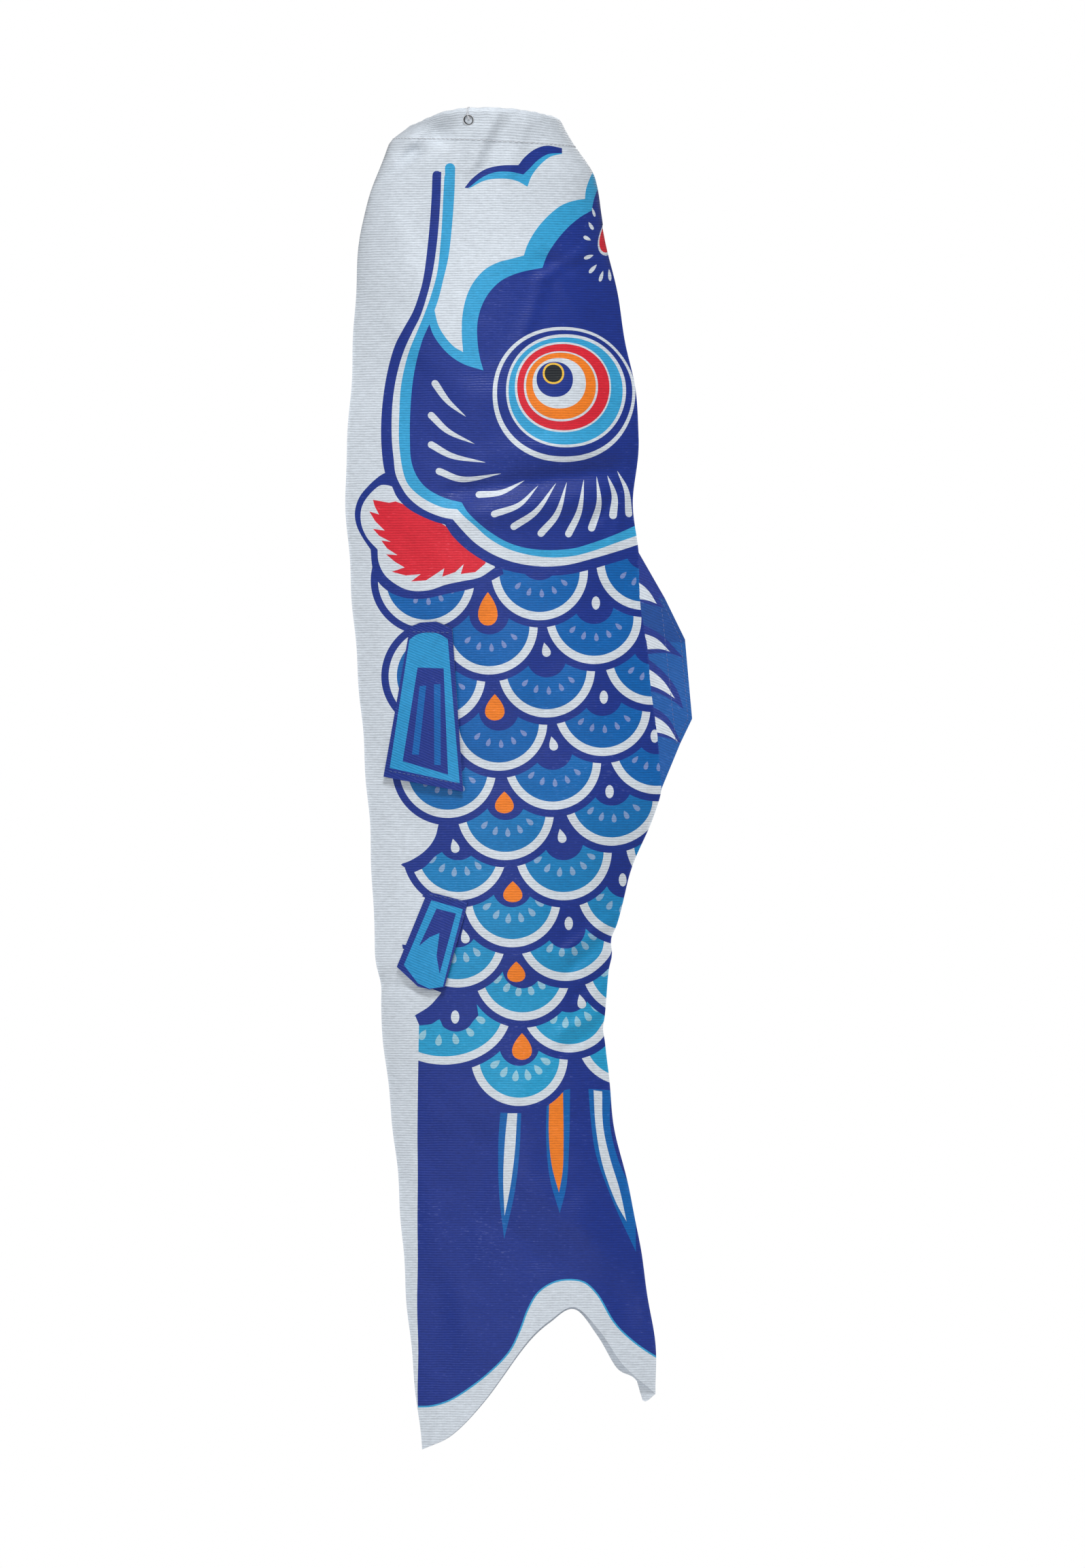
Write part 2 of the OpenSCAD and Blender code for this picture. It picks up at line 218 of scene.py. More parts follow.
def edge_wobble(x, d):
    """Small kinks of the sleeve's two folded edges, which both sides share."""
    u = across(x, d)
    near = np.abs(u) ** 8
    belly_side = (
        0.9 * np.exp(-(((d - 457) / 7) ** 2)) - 0.5 * np.exp(-(((d - 444) / 9) ** 2))
        - 2.3 * np.exp(-(((d - 14) / 7) ** 2))
    )
    back_side = (
        -1.2 * np.exp(-(((d - 433) / 5) ** 2)) + 0.9 * np.exp(-(((d - 442) / 5) ** 2))
        - 0.9 * np.exp(-(((d - 480) / 5) ** 2)) + 0.5 * np.sin(d / 11.0) * (d > 60)
    )
    ripple = 0.35 * np.sin(d / 7.3 + 1) + 0.25 * np.sin(d / 17.0)
    return near * (np.where(u < 0, belly_side, back_side) + ripple * np.clip(d / 40 - 0.5, 0, 1))


def skin(x, d, side):
    """Points of the sleeve's outer surface, in metres."""
    x, d = np.asarray(x, float), np.asarray(d, float)
    full = bulge(x, d)
    y = np.maximum(full + relief(x, d, side), np.maximum(np.minimum(0.8 * full, 1.3), CLOTH * 0.6))
    u = across(x, d)
    y = np.where(np.abs(u) > 0.9995, CLOTH * 0.6, y)
    return np.stack([x + edge_wobble(x, d), side * y, -d], axis=-1) * MM


def skin_normal(x, d, side):
    """Outward normals of that surface."""
    step = 0.25
    inward = np.where(across(x, d) > 0, -step, step)
    a = skin(x + inward, d, side) - skin(x, d, side)
    b = skin(x, d + step, side) - skin(x, d - step, side)
    n = np.cross(a, b)
    n *= np.sign(n[:, 1] * side)[:, None]
    return n / np.maximum(np.linalg.norm(n, axis=1), 1e-12)[:, None]


# ---------------------------------------------------------------- outlines for the print

STEP = 1.3


def turned(cx, cd, px, pd, turn):
    """Points round (0, 0), turned clockwise by turn degrees and moved to (cx, cd)."""
    c, s = math.cos(math.radians(turn)), math.sin(math.radians(turn))
    return np.stack([cx + px * c - pd * s, cd + px * s + pd * c], axis=-1)


def curve(*points):
    """A smooth open line through the points."""
    p = np.asarray(points, float)
    if len(p) < 3:
        return p
    ends = np.vstack([2 * p[0] - p[1], p, 2 * p[-1] - p[-2]])
    knots = np.concatenate([[0], np.cumsum(np.sqrt(np.linalg.norm(np.diff(ends, axis=0), axis=1)))])
    out = []
    for i in range(1, len(ends) - 2):
        k0, k1, k2, k3 = knots[i - 1:i + 3]
        a, b, c, e = ends[i - 1:i + 3]
        m1 = (k2 - k1) * ((b - a) / (k1 - k0) - (c - a) / (k2 - k0) + (c - b) / (k2 - k1))
        m2 = (k2 - k1) * ((c - b) / (k2 - k1) - (e - b) / (k3 - k1) + (e - c) / (k3 - k2))
        count = max(2, int(np.linalg.norm(c - b) / STEP))
        f = (np.arange(count) / count)[:, None]
        out.append(
            b * (2 * f**3 - 3 * f**2 + 1) + m1 * (f**3 - 2 * f**2 + f)
            + c * (3 * f**2 - 2 * f**3) + m2 * (f**3 - f**2)
        )
    out.append(p[-1:])
    return np.vstack(out)


def oval(cx, cd, rx, rd=None, square=2.0):
    """An ellipse, or a squarer one for square over 2."""
    rd = rx if rd is None else rd
    count = max(14, int(math.pi * (rx + rd) / STEP))
    t = np.arange(count) * 2 * math.pi / count
    px = rx * np.sign(np.cos(t)) * np.abs(np.cos(t)) ** (2 / square)
    pd = rd * np.sign(np.sin(t)) * np.abs(np.sin(t)) ** (2 / square)
    return np.stack([cx + px, cd + pd], axis=-1)


def teardrop(cx, cd, width, length, turn=0.0, point=1.3):
    """A drop whose point is up until it is turned."""
    t = np.linspace(0, 2 * math.pi, 22, endpoint=False)
    px = width / 2 * np.sin(t) * np.abs(np.sin(t / 2)) ** point * 1.15
    pd = -length / 2 * np.cos(t)
    return turned(cx, cd, px, pd, turn)


def joined(*lines):
    """One closed outline from smooth stretches and corners, end to end."""
    return np.vstack([curve(*line) for line in lines])


def ways_of(line):
    """The direction of a line at each of its points, and the direction to its left."""
    way = np.gradient(line, axis=0)
    way /= np.linalg.norm(way, axis=1)[:, None]
    return way, np.stack([-way[:, 1], way[:, 0]], axis=-1)


def brush(width, *points):
    """A tapered stroke: round and wide at its first point, sharp at its last."""
    line = curve(*points)
    way, left = ways_of(line)
    run = np.linspace(0, 1, len(line))
    half = (width / 2 * (1 - run**1.7) ** 0.9 + 0.04)[:, None]
    cap = [
        line[0] + width / 2 * (-math.sin(a) * way[0] - math.cos(a) * left[0])
        for a in np.linspace(0.3, math.pi - 0.3, 7)
    ]
    return np.vstack([line + half * left, (line - half * left)[::-1], cap])


def ribbon(width, line):
    """A band of one width along a line."""
    half = ways_of(line)[1] * width / 2
    return np.vstack([line + half, (line - half)[::-1]])


# ---------------------------------------------------------------- the fish's print

SCALE_R = 25.3
SCALE_RIM = 4.3
SCALE_GAP = 3.8


def mixed(a, b, f):
    """A colour between two others."""
    return tuple(np.array(a) * (1 - f) + np.array(b) * f)


def scale(cx, cd, rx=SCALE_R, rd=None):
    """One scale: a navy gap, a white rim, a field, a navy cap and pale seeds.

    Its colours are deep blue and lilac behind the head, and turn to sky blue and mist at the tail.
    """
    rd = rx if rd is None else rd
    f = float(np.clip((cd - 330) / 140, 0, 1))
    seeds = [42, 64, 86, 108, 130] if f < 0.4 else [30, 52, 74, 97, 120, 143]
    pale = mixed(LILAC, MIST, f)
    yield NAVY, oval(cx, cd, rx + SCALE_GAP, rd + SCALE_GAP)
    yield WHITE, oval(cx, cd, rx, rd)
    yield mixed(BLUE, TAIL_BLUE, f), oval(cx, cd, rx - SCALE_RIM, rd - SCALE_RIM)
    for angle in seeds:
        a = math.radians(angle)
        reach = (17.2 - 1.6 * f) * rx / SCALE_R
        sx, sd = cx + reach * math.cos(a), cd - 6 + reach * math.sin(a)
        yield pale, teardrop(sx, sd, 2.6 + 1.2 * f, 4.4 + 1.6 * f, turn=angle - 90, point=0.9)
    cap = cd - (2 if 428 < cd < 452 and cx > 15 else 6)
    yield NAVY, oval(cx, cap, 10.4)
    yield NAVY, np.array([(cx - 9, cd - 26), (cx + 9, cd - 26), (cx + 5, cd - 8), (cx - 5, cd - 8)])


SCALES = [
    (-31, 245.5), (-25.3, 295.7), (-19.8, 344.6), (-14.3, 387.6), (-14.7, 433.1),
    (1.9, 269.8), (6.9, 320), (10.4, 366.6), (13.9, 412.1), (19.2, 450.4), (17.6, 494.9),
    (28.1, 241.5), (31.8, 292.2), (35, 340.4), (40.7, 387.6), (41.8, 429.7), (43.7, 467.1),
    (56.6, 264.3), (61, 312.3), (65.8, 359.1), (73, 407.3), (75.3, 447.1), (73, 484.4),
    (83, 235.9), (87.2, 285.5), (89.3, 332.2), (98.4, 380.8),
]
BARE_SCALES = [(-49, 369.3, 25), (-46.9, 448.1, 27)]
ORANGE_DROPS = [
    (1.2, 260.9, 11.6, 17.5), (4.8, 312.2, 11.6, 13.8), (9.8, 361.8, 11.2, 11.4),
    (14.2, 408.4, 11.4, 11), (16, 450.2, 10.8, 10.8), (19, 489.2, 11.8, 14),
]
WHITE_OVALS = [
    (57.6, 257.7), (61.7, 306.9), (64.7, 356.2), (72.2, 402.3), (43.4, 425), (-15.9, 473.8), (88.4, 327.2),
]
WHITE_DROPS = [
    (31.4, 282.1), (35.2, 331), (39.6, 379.2), (-16.2, 384.4), (-10.9, 431.6), (49.9, 465.7),
]


def fish_body():
    """The navy body with its scales, and the tail with its three rays."""
    fork = curve(
        (-35.5, 677.2), (-28.6, 676.8), (-19.1, 673.8), (-8.2, 667), (2.7, 658.2), (12.2, 648),
        (17.6, 637.1), (21.7, 626.3), (27.1, 617.4), (35.3, 612), (43.4, 610.6), (51.6, 612),
        (58.4, 618.1), (67.9, 633.7), (77.4, 643.2), (88.5, 651.1), (100.5, 657.5),
    )
    yield SKY, ribbon(1.7, fork)
    head_side = [(137.1, 216.9), (-12.4, 216.9), (-36.8, 237.3), (-35.5, 270.6), (-30, 320.2), (-23.8, 373.8)]
    belly_side = [(-43.7, 394), (-31.3, 409.4), (-22.5, 420.2), (-22.5, 461), (-34.7, 474)]
    yield NAVY, np.vstack([
        head_side,
        belly_side,
        [(-35.4, 509.9), (-35.6, 538)],
        fork,
        [(114.1, 592.3)],
    ])
    for border, inner, colour in (
        (
            [[(7.7, 523.7), (6.7, 538), (7, 565.1), (9.7, 589.9)],
             [(9.7, 589.9), (15.2, 565.1), (17.6, 544.8), (18.6, 524)]],
            [[(11.5, 524), (10.1, 538), (9.2, 558.3), (9.9, 577.6)],
             [(9.9, 577.6), (12.9, 562.4), (15.2, 544.8), (16.5, 524)]],
            WHITE,
        ),
        (
            [[(32.1, 513.5), (31.6, 538), (33.6, 558.3), (38.7, 576.3)],
             [(38.7, 576.3), (42.1, 562.4), (43.7, 538), (44.1, 511.5)]],
            [[(33.2, 518.3), (33, 535.3), (34.6, 551.6), (38.3, 565.4)],
             [(38.3, 565.4), (40.2, 554.3), (40.7, 538), (40.4, 513.2)]],
            ORANGE,
        ),
        (
            [[(53.6, 511.5), (55, 527.1), (57.7, 546.1), (66.5, 570.6), (78.7, 596.7)],
             [(78.7, 596.7), (77.4, 571.9), (69.2, 548.8), (65.8, 531.2), (65.2, 512.2)]],
            [[(56.3, 512.2), (57.7, 531.2), (61.1, 551.6), (67.9, 570.6), (73.6, 580.8)],
             [(73.6, 580.8), (69.9, 565.1), (65.2, 548.8), (61.8, 531.2), (60.7, 512.8)]],
            WHITE,
        ),
    ):
        yield BLUE, joined(*border)
        yield colour, joined(*inner)
    rows = [(cd, scale(cx, cd)) for cx, cd in SCALES]
    rows.append((470.2, scale(-21.8, 470.2, 35.3, 28.5)))
    for cx, cd, radius in BARE_SCALES:
        rows.append((cd, [(WHITE, oval(cx, cd, radius))]))
    for _, shapes in sorted(rows, key=lambda row: -row[0]):
        yield from shapes
    yield WHITE, np.array([
        (-55.7, 473.2), (-34.7, 473.5), (-35.4, 509.9), (-35.6, 538), (-35.5, 677.2), (-55.7, 677.2),
    ])
    yield NAVY, joined(
        [(-24.4, 372.6), (-26.8, 381), (-31.8, 387.2), (-37.8, 391.4), (-44.3, 394.3)],
        [(-38.2, 398.7), (-31.9, 395.6), (-26.2, 389.8), (-21.8, 386.7), (-19.9, 381.6), (-20.5, 373)],
    )
    yield NAVY, joined(
        [(-21.8, 459.5), (-25.2, 463.7), (-29.4, 468.2), (-36.9, 473)],
        [
            (-34.6, 478.3), (-28.1, 477.4), (-24, 475.1), (-22.4, 478.6), (-18.6, 480.9), (-14.2, 481.4),
            (-9.1, 479.3), (-6.6, 476.1), (-3.8, 473),
        ],
        [(-3.8, 473), (-4.6, 467), (-6, 459)],
    )
    yield WHITE, np.array([
        (-40.1, 406), (-35.7, 409.5), (-32, 411.4), (-29.1, 412.9), (-38.2, 438.8), (-43, 439),
        (-45.8, 445.8), (-49.5, 428.1), (-46.5, 412.9),
    ])
    yield NAVY, np.array([(-43.6, 436), (-40.2, 436.4), (-41.4, 439), (-43.2, 438.2)])
    for cx, cd, width, length in ORANGE_DROPS:
        yield ORANGE, teardrop(cx, cd, width, length, point=1)
    for cx, cd in WHITE_OVALS:
        yield WHITE, oval(cx, cd, 2.2, 3.5)
    for cx, cd in WHITE_DROPS:
        yield WHITE, teardrop(cx, cd, 5.4, 7.6, turn=-14)


def fish_head():
    """The gill frill, the banded edge of the head, the forehead, the eye and the cheek strokes."""
    yield NAVY, joined(
        [
            (-49, 188.4), (-54.5, 190.8), (-61.3, 196.6), (-66, 202.7), (-68.1, 210.1), (-67.4, 216.9),
            (-64.7, 223), (-60.2, 229.8),
        ],
        [
            (-60.2, 229.8), (-59.6, 237.3), (-57.9, 244.1), (-51.8, 250.9), (-43.6, 254.7),
            (-32.7, 255.6), (-20.5, 253.1), (-6.9, 250.2), (1.2, 247.1), (9.4, 242.7),
        ],
        [(1.2, 210.1)],
    )
    yield WHITE, joined(
        [
            (-50.7, 196.3), (-54.5, 196.1), (-59.2, 199.5), (-63.7, 205.4), (-65.1, 210.1),
            (-64.8, 216.9), (-61.9, 223.7), (-56.5, 229.8),
        ],
        [
            (-56.5, 229.8), (-56.1, 235.9), (-53.1, 242.5), (-47, 247.9), (-39.5, 251.2), (-30, 251.2),
            (-20.5, 248.2), (-12.4, 246.5), (-2.9, 244.4), (5, 239.3),
        ],
        [(-12.4, 210.1)],
    )
    yield RED, np.array([
        (-58.8, 203.8), (-50.4, 205.4), (-47, 204.7), (-32.7, 210.1), (1.2, 231.9), (-0.1, 237.3),
        (-5.3, 241.7), (-12.9, 242.7), (-11.4, 237.6), (-15.8, 241.7), (-22.6, 244.1), (-21.5, 239.7),
        (-26, 242.7), (-31.1, 246), (-38.9, 246.5), (-33.8, 242.7), (-41.6, 243.4), (-49, 241.4),
        (-42.3, 239.2), (-47.4, 236.2), (-52, 232.3), (-46.1, 232.7), (-51.5, 229.2), (-54.5, 225.1),
        (-49.6, 225.8), (-55.6, 222.6), (-58.8, 219), (-52.7, 219.9), (-57.7, 214.9), (-60.6, 209.9),
        (-55.6, 211.5), (-57.9, 207.1),
    ])
    outer = joined(
        [
            (-27.7, 35), (-28.3, 49.3), (-30, 69.7), (-32.5, 88.7), (-34.6, 96.8), (-37.8, 105.7),
            (-42.3, 113.8), (-47, 122.6), (-50.1, 132.1), (-52.7, 144.4), (-54.2, 158), (-54.5, 172.9),
            (-53.5, 185.1), (-52.6, 189.5),
        ],
        [(-49, 196.6), (-46.1, 202.7), (-40.9, 208.1), (-34.1, 212.2), (-26, 215.6), (-21.2, 216.9)],
        [
            (-17.5, 222.6), (-12.4, 227.8), (-5.6, 233), (3.9, 238.3), (14.8, 241.7), (28.4, 243.4),
            (42, 243), (55.6, 240), (69.1, 235.9), (81.4, 231.9),
        ],
    )
    yield NAVY, np.vstack([outer, [(109.9, 196.6), (109.9, 26.2), (-25.4, 33.3)]])
    yield NAVY, oval(-25.4, 34.9, 2.3)
    band = joined(
        [
            (-23.1, 35), (-23.6, 49.3), (-25.3, 69.7), (-27.7, 86), (-30.7, 98.2), (-34.1, 108.4),
            (-38.2, 116.5), (-42.3, 125.4), (-45.4, 134.9), (-47.7, 145.7), (-48.9, 158), (-48.9, 172.9),
            (-48, 182.4), (-47, 190.4), (-44.3, 196.6), (-40.2, 202.7), (-32.7, 208.8), (-23.2, 212.9),
            (-17.1, 214.2),
        ],
        [
            (-17.1, 214.2), (-12.4, 219.6), (-5.6, 226.4), (3.9, 232.5), (14.8, 236.6), (28.4, 238.7),
            (42, 238), (55.6, 234.6), (69.1, 230.5), (81.4, 226.2),
        ],
    )
    yield WHITE, np.vstack([band, [(123.5, 196.6), (123.5, 12.6), (-23.1, 28.9)]])
    cyan = joined(
        [
            (-21.2, 31.4), (-21.9, 43.9), (-23.2, 66.9), (-25.3, 86), (-28.7, 98.2), (-32.1, 107.7),
            (-35.5, 115.8), (-39.5, 125.4), (-42.3, 134.9), (-44.3, 145.7), (-45, 158), (-45.2, 172.9),
            (-44.3, 182.4), (-42.9, 189.8), (-40.9, 195.2), (-36.8, 199.9), (-30, 204.7), (-21.9, 208.1),
            (-14.7, 209),
        ],
        [
            (-14.7, 209), (-11, 212.9), (-5.6, 217.6), (1.2, 223.7), (10.7, 229.2), (21.6, 232.5),
            (33.8, 234), (46, 233.2), (58.3, 229.8), (69.1, 225.8), (81.4, 221.3),
        ],
    )
    yield SKY, np.vstack([cyan, [(116.7, 196.6), (116.7, 26.2), (-18.5, 29.2)]])
    forehead = joined(
        [
            (-15.8, 31.4), (-16.2, 43.9), (-17.5, 61.5), (-19.4, 77.8), (-21.9, 88.7), (-24.6, 99.5),
            (-26.6, 105.3),
        ],
        [(-26.6, 105.3), (-24.6, 113.1), (-20.5, 119.9), (-15.8, 124.7), (-11.7, 127)],
        [
            (-11.7, 127), (-12.4, 117.2), (-12, 107.7), (-9.9, 98.2), (-6.3, 90.7), (-0.1, 83.9),
            (6.7, 80.3), (13.4, 78.5), (20, 76.7),
        ],
        [(20, 76.7), (21.6, 71.7), (25.7, 64.2), (31.8, 56.8), (39.3, 50.6), (46, 47.9), (51.8, 46.8)],
        [(51.8, 46.8), (52.2, 42.5), (53.9, 37.1), (56.5, 31.4)],
    )
    yield WHITE, np.vstack([forehead, [(82.7, 19.4), (82.7, -1), (-39.5, -1), (-26, 31.6)]])
    yield NAVY, oval(-25.4, 34.9, 2.3)
    yield WHITE, np.array([(-23.1, 35.2), (-21.1, 35.2), (-21.1, 26.2), (-23.1, 26.2)])
    yield SKY, oval(-18.5, 31.4, 2.7)
    crown = joined(
        [(-29.3, 112.5), (-27.3, 117.9), (-23.2, 124), (-17.8, 129.4), (-11, 133.5), (-1.1, 136.6)],
        [
            (-1.1, 136.6), (-3.1, 129.4), (-4.2, 121.3), (-4.2, 111.8), (-2.2, 103.6), (1.9, 96.1),
            (8, 90), (14.8, 86.6), (21.6, 84.6), (29.7, 83),
        ],
        [(29.7, 83), (31.8, 77.1), (35.9, 70.3), (42, 62.9), (48.8, 56.8), (55.3, 52.7)],
        [(55.3, 52.7), (56.1, 47.9), (58.1, 41.8)],
        [(109.9, 39.8), (109.9, 196.6)],
        [
            (81.4, 215.6), (66.4, 222.4), (55.6, 226.4), (46, 229.2), (33.8, 230.2), (21.6, 229.2),
            (12.1, 226.4), (2.6, 221), (-4.2, 215.6), (-9.6, 210.1), (-12.4, 205.4),
        ],
        [
            (-12.4, 205.4), (-20.5, 203.3), (-28.7, 199.3), (-33.4, 195.2), (-36.8, 189.8), (-38.9, 183),
            (-39.5, 172.9), (-39.3, 158), (-37.9, 141.7), (-35.5, 129.4), (-32.7, 119.9),
        ],
    )
    yield NAVY, crown
    yield SKY, joined(
        [(-9, 42.1), (-0.1, 37.7), (9.4, 36.8), (16.2, 37.9), (21.9, 40.9)],
        [(21.9, 40.9), (24, 35.4), (28.4, 29.6), (33.8, 25.2), (39.9, 23.5)],
        [(39.9, 20.8), (32.5, 21), (25.7, 24.2), (20.2, 28.9), (17.8, 32.3)],
        [(17.8, 32.3), (8, 32.3), (-0.1, 34.3), (-6.9, 39.1)],
    )
    yield NAVY, joined(
        [(-10.9, 41.5), (-6.9, 36.7), (-0.1, 31.9), (8, 30), (17.2, 29.7)],
        [(17.2, 29.7), (20.2, 25.8), (25.7, 21.4), (31.8, 19.4), (39.9, 20.5)],
        [(39.9, 23.1), (32.5, 23.9), (27, 27.3), (23, 31.4), (19.7, 34.6)],
        [(19.7, 34.6), (13.4, 33.3), (5.3, 33.4), (-1.5, 36), (-6.9, 40), (-9, 41.7)],
    )
    yield WHITE, teardrop(62.6, 67.4, 9.4, 17.6, turn=-3)
    yield RED, teardrop(62.6, 67.2, 7.4, 14.8, turn=-3)
    for place, width, length, turn in (
        ((56.2, 53.6), 1.5, 4.9, -18), ((55.1, 60.8), 2, 4.8, -35), ((53.2, 67.4), 2.2, 4.4, 115),
        ((53.9, 77), 2.2, 5.4, 68), ((56, 83.2), 2.2, 6, 42), ((60.3, 87), 2, 6, 18),
        ((64.5, 86.2), 1.8, 6.2, -4),
    ):
        yield WHITE, teardrop(*place, width, length, turn=turn, point=0.8)
    for colour, place, rx, rd in (
        (WHITE, (40.6, 149), 36.9, 35.2), (NAVY, (41, 148.4), 35, 33),
        (WHITE, (41.8, 147.1), 31.1, 29.5), (SKY, (41.6, 147.2), 29.6, 28),
        (WHITE, (40.3, 145.2), 25, 23.5), (RED, (40.5, 145.2), 24, 22.5),
        (WHITE, (39.3, 144.8), 19.3, 18.3), (ORANGE, (39.3, 144.6), 18.2, 17.4),
        (WHITE, (38.4, 143.2), 13.9, 13.2), (NAVY, (36.1, 141.2), 9.5, 9.2),
        (YELLOW, (35.4, 138.1), 5.6, 5.6), (BLACK, (35.4, 138.1), 4.6, 4.6),
    ):
        yield colour, oval(*place, rx, rd, square=2.12)
    for width, points in (
        (3.6, [(-26.4, 143.3), (-19.8, 152.5), (-10.3, 160.7)]),
        (3.5, [(-28.4, 159.9), (-19.8, 168.1), (-5.8, 174.9)]),
        (3.5, [(-28.4, 175.2), (-17.8, 181), (-0.1, 184.6)]),
        (3.5, [(-24.3, 189.1), (-12.4, 193.3), (8, 190.4)]),
        (3.4, [(-3.5, 201.3), (8, 200.2), (20.2, 194)]),
        (3.4, [(4.5, 211.5), (17.5, 206.7), (27.4, 196.6)]),
        (3.5, [(14.7, 218), (26.3, 210.1), (36.8, 195.2)]),
        (3.6, [(28.9, 221.5), (37.2, 211.5), (42.4, 194.8)]),
        (3.6, [(43.3, 221.7), (48.8, 210.1), (51.3, 193.4)]),
        (3.7, [(55.3, 218.6), (59.2, 206.1), (58, 191.7)]),
        (4, [(66.6, 211.9), (67.5, 202), (63.7, 191.1)]),
        (3.6, [(75, 211), (74, 199.3), (68.9, 188.7)]),
    ):
        yield WHITE, brush(width, *points)


def fish_print():
    """Everything printed on one side of the sleeve, lowest layer first."""
    return [*fish_body(), *fish_head()]


def pectoral_print():
    """Navy border, sky blue field and a navy wedge with two bars."""
    yield FIN_SKY, joined(
        [(-39.8, 277), (-36.1, 274.3), (-30.7, 273.2), (-24.6, 273.8), (-19.7, 276.7)],
        [(-13.5, 351.8), (-50.1, 343.8)],
    )
    yield NAVY, np.array([(-35.5, 291.4), (-21.9, 291.9), (-19.6, 347.3), (-43.3, 340.3)])
    yield BLUE, np.array([(-34.4, 301.1), (-31, 300.9), (-34.9, 337), (-38.4, 336.7)])
    yield BLUE, np.array([(-26.9, 300.2), (-23.5, 300.1), (-23.4, 342.3), (-26.8, 342.3)])


def pelvic_print():
    """Navy border, sky blue field and a navy wedge with a notch."""
    yield FIN_SKY, np.array([
        (-28.3, 412.9), (-11.9, 417.5), (-22.3, 458), (-29.3, 459), (-35.4, 456.2), (-42.7, 446.7),
    ])
    yield NAVY, np.array([
        (-25.6, 417.2), (-15.5, 419.8), (-24, 451.2), (-25.6, 442), (-24.1, 430), (-29.3, 432.2),
        (-34.8, 436.8),
    ])


def dorsal_print():
    """Four white teeth, each over a navy crescent, on a field that pales toward the tail."""
    yield FIN_PALE_BLUE, np.array([(66.4, 278.1), (123.5, 278.1), (123.5, 373.1), (66.4, 373.1)])
    yield NAVY, joined(
        [(66.4, 223.7)],
        [(77.3, 223.7), (86.8, 237.3), (94.3, 255.6)],
        [(94.3, 255.6), (89.5, 254.7), (84.1, 255.6), (66.4, 257)],
    )
    for crescent, tooth in (
        (
            [[(66.4, 237.3), (80, 242.7), (87.5, 250.2), (92.9, 260.1)],
             [(92.9, 260.1), (86.8, 258.6), (79.7, 257), (66.4, 256.3)]],
            [[(66.4, 242.7), (79.7, 246.8), (85.4, 251.6), (89.4, 258)],
             [(89.4, 258), (84.8, 256.3), (79.7, 255.6), (66.4, 255.6)]],
        ),
        (
            [[(66.4, 263.1), (81.4, 268.5), (92.2, 274.7), (103.6, 286.5)],
             [(103.6, 286.5), (96.3, 284), (89.5, 283.8), (82, 284.8), (66.4, 286.2)]],
            [[(66.4, 269.9), (81.8, 273.4), (89.5, 276.4), (96.4, 283.1)],
             [(96.4, 283.1), (91.6, 281.7), (81.8, 281.9), (66.4, 281.9)]],
        ),
        (
            [[(66.4, 278.1), (83.4, 285.9), (94.9, 295.7), (100.4, 303.9), (103.4, 313.1)],
             [(103.4, 313.1), (97, 308.2), (89.5, 304.5), (82.7, 303.2), (66.4, 302.5)]],
            [[(66.4, 283.5), (84.4, 291.6), (92.9, 298.4), (98.9, 307.5)],
             [(98.9, 307.5), (92.2, 303.2), (85.2, 300.6), (66.4, 299.8)]],
        ),
        (
            [[(66.4, 307.9), (87.5, 312), (95.6, 318.1), (102.3, 331)],
             [(102.3, 331), (96.3, 328.6), (89.5, 327.2), (66.4, 326.3)]],
            [[(66.4, 312), (87.5, 316.5), (94.9, 321.5), (100.5, 330.1)],
             [(100.5, 330.1), (95.6, 327), (88.8, 325.1), (66.4, 324.2)]],
        ),
    ):
        yield NAVY, joined(*crescent)
        yield WHITE, joined(*tooth)


# ---------------------------------------------------------------- meshes


def link(name, mesh):
    """An object for a mesh, in the scene."""
    made = bpy.data.objects.new(name, mesh)
    bpy.context.scene.collection.objects.link(made)
    return made


def mesh_object(name, points, faces, material):
    """A smooth-shaded mesh from points in metres."""
    mesh = bpy.data.meshes.new(name)
    mesh.from_pydata([tuple(p) for p in points], [], [tuple(f) for f in faces])
    mesh.validate()
    mesh.shade_smooth()
    mesh.materials.append(material)
    return link(name, mesh)


def outline_of(corners, step=2.0):
    """A closed loop with straight sides through the corners."""
    corners = np.asarray(corners, float)
    out = []
    for a, b in zip(corners, np.roll(corners, -1, axis=0)):
        count = max(1, math.ceil(np.linalg.norm(b - a) / step - 0.01))
        out.append(a + (b - a) * (np.arange(count) / count)[:, None])
    return np.vstack(out)


def within(points, loop):
    """Which points lie inside a closed loop."""
    inside = np.zeros(len(points), bool)
    px, py = points[:, 0], points[:, 1]
    for (ax, ay), (bx, by) in zip(loop, np.roll(loop, -1, axis=0)):
        if ay == by:
            continue
        cross = (ay > py) != (by > py)
        inside ^= cross & (px < (bx - ax) * (py - ay) / (by - ay) + ax)
    return inside


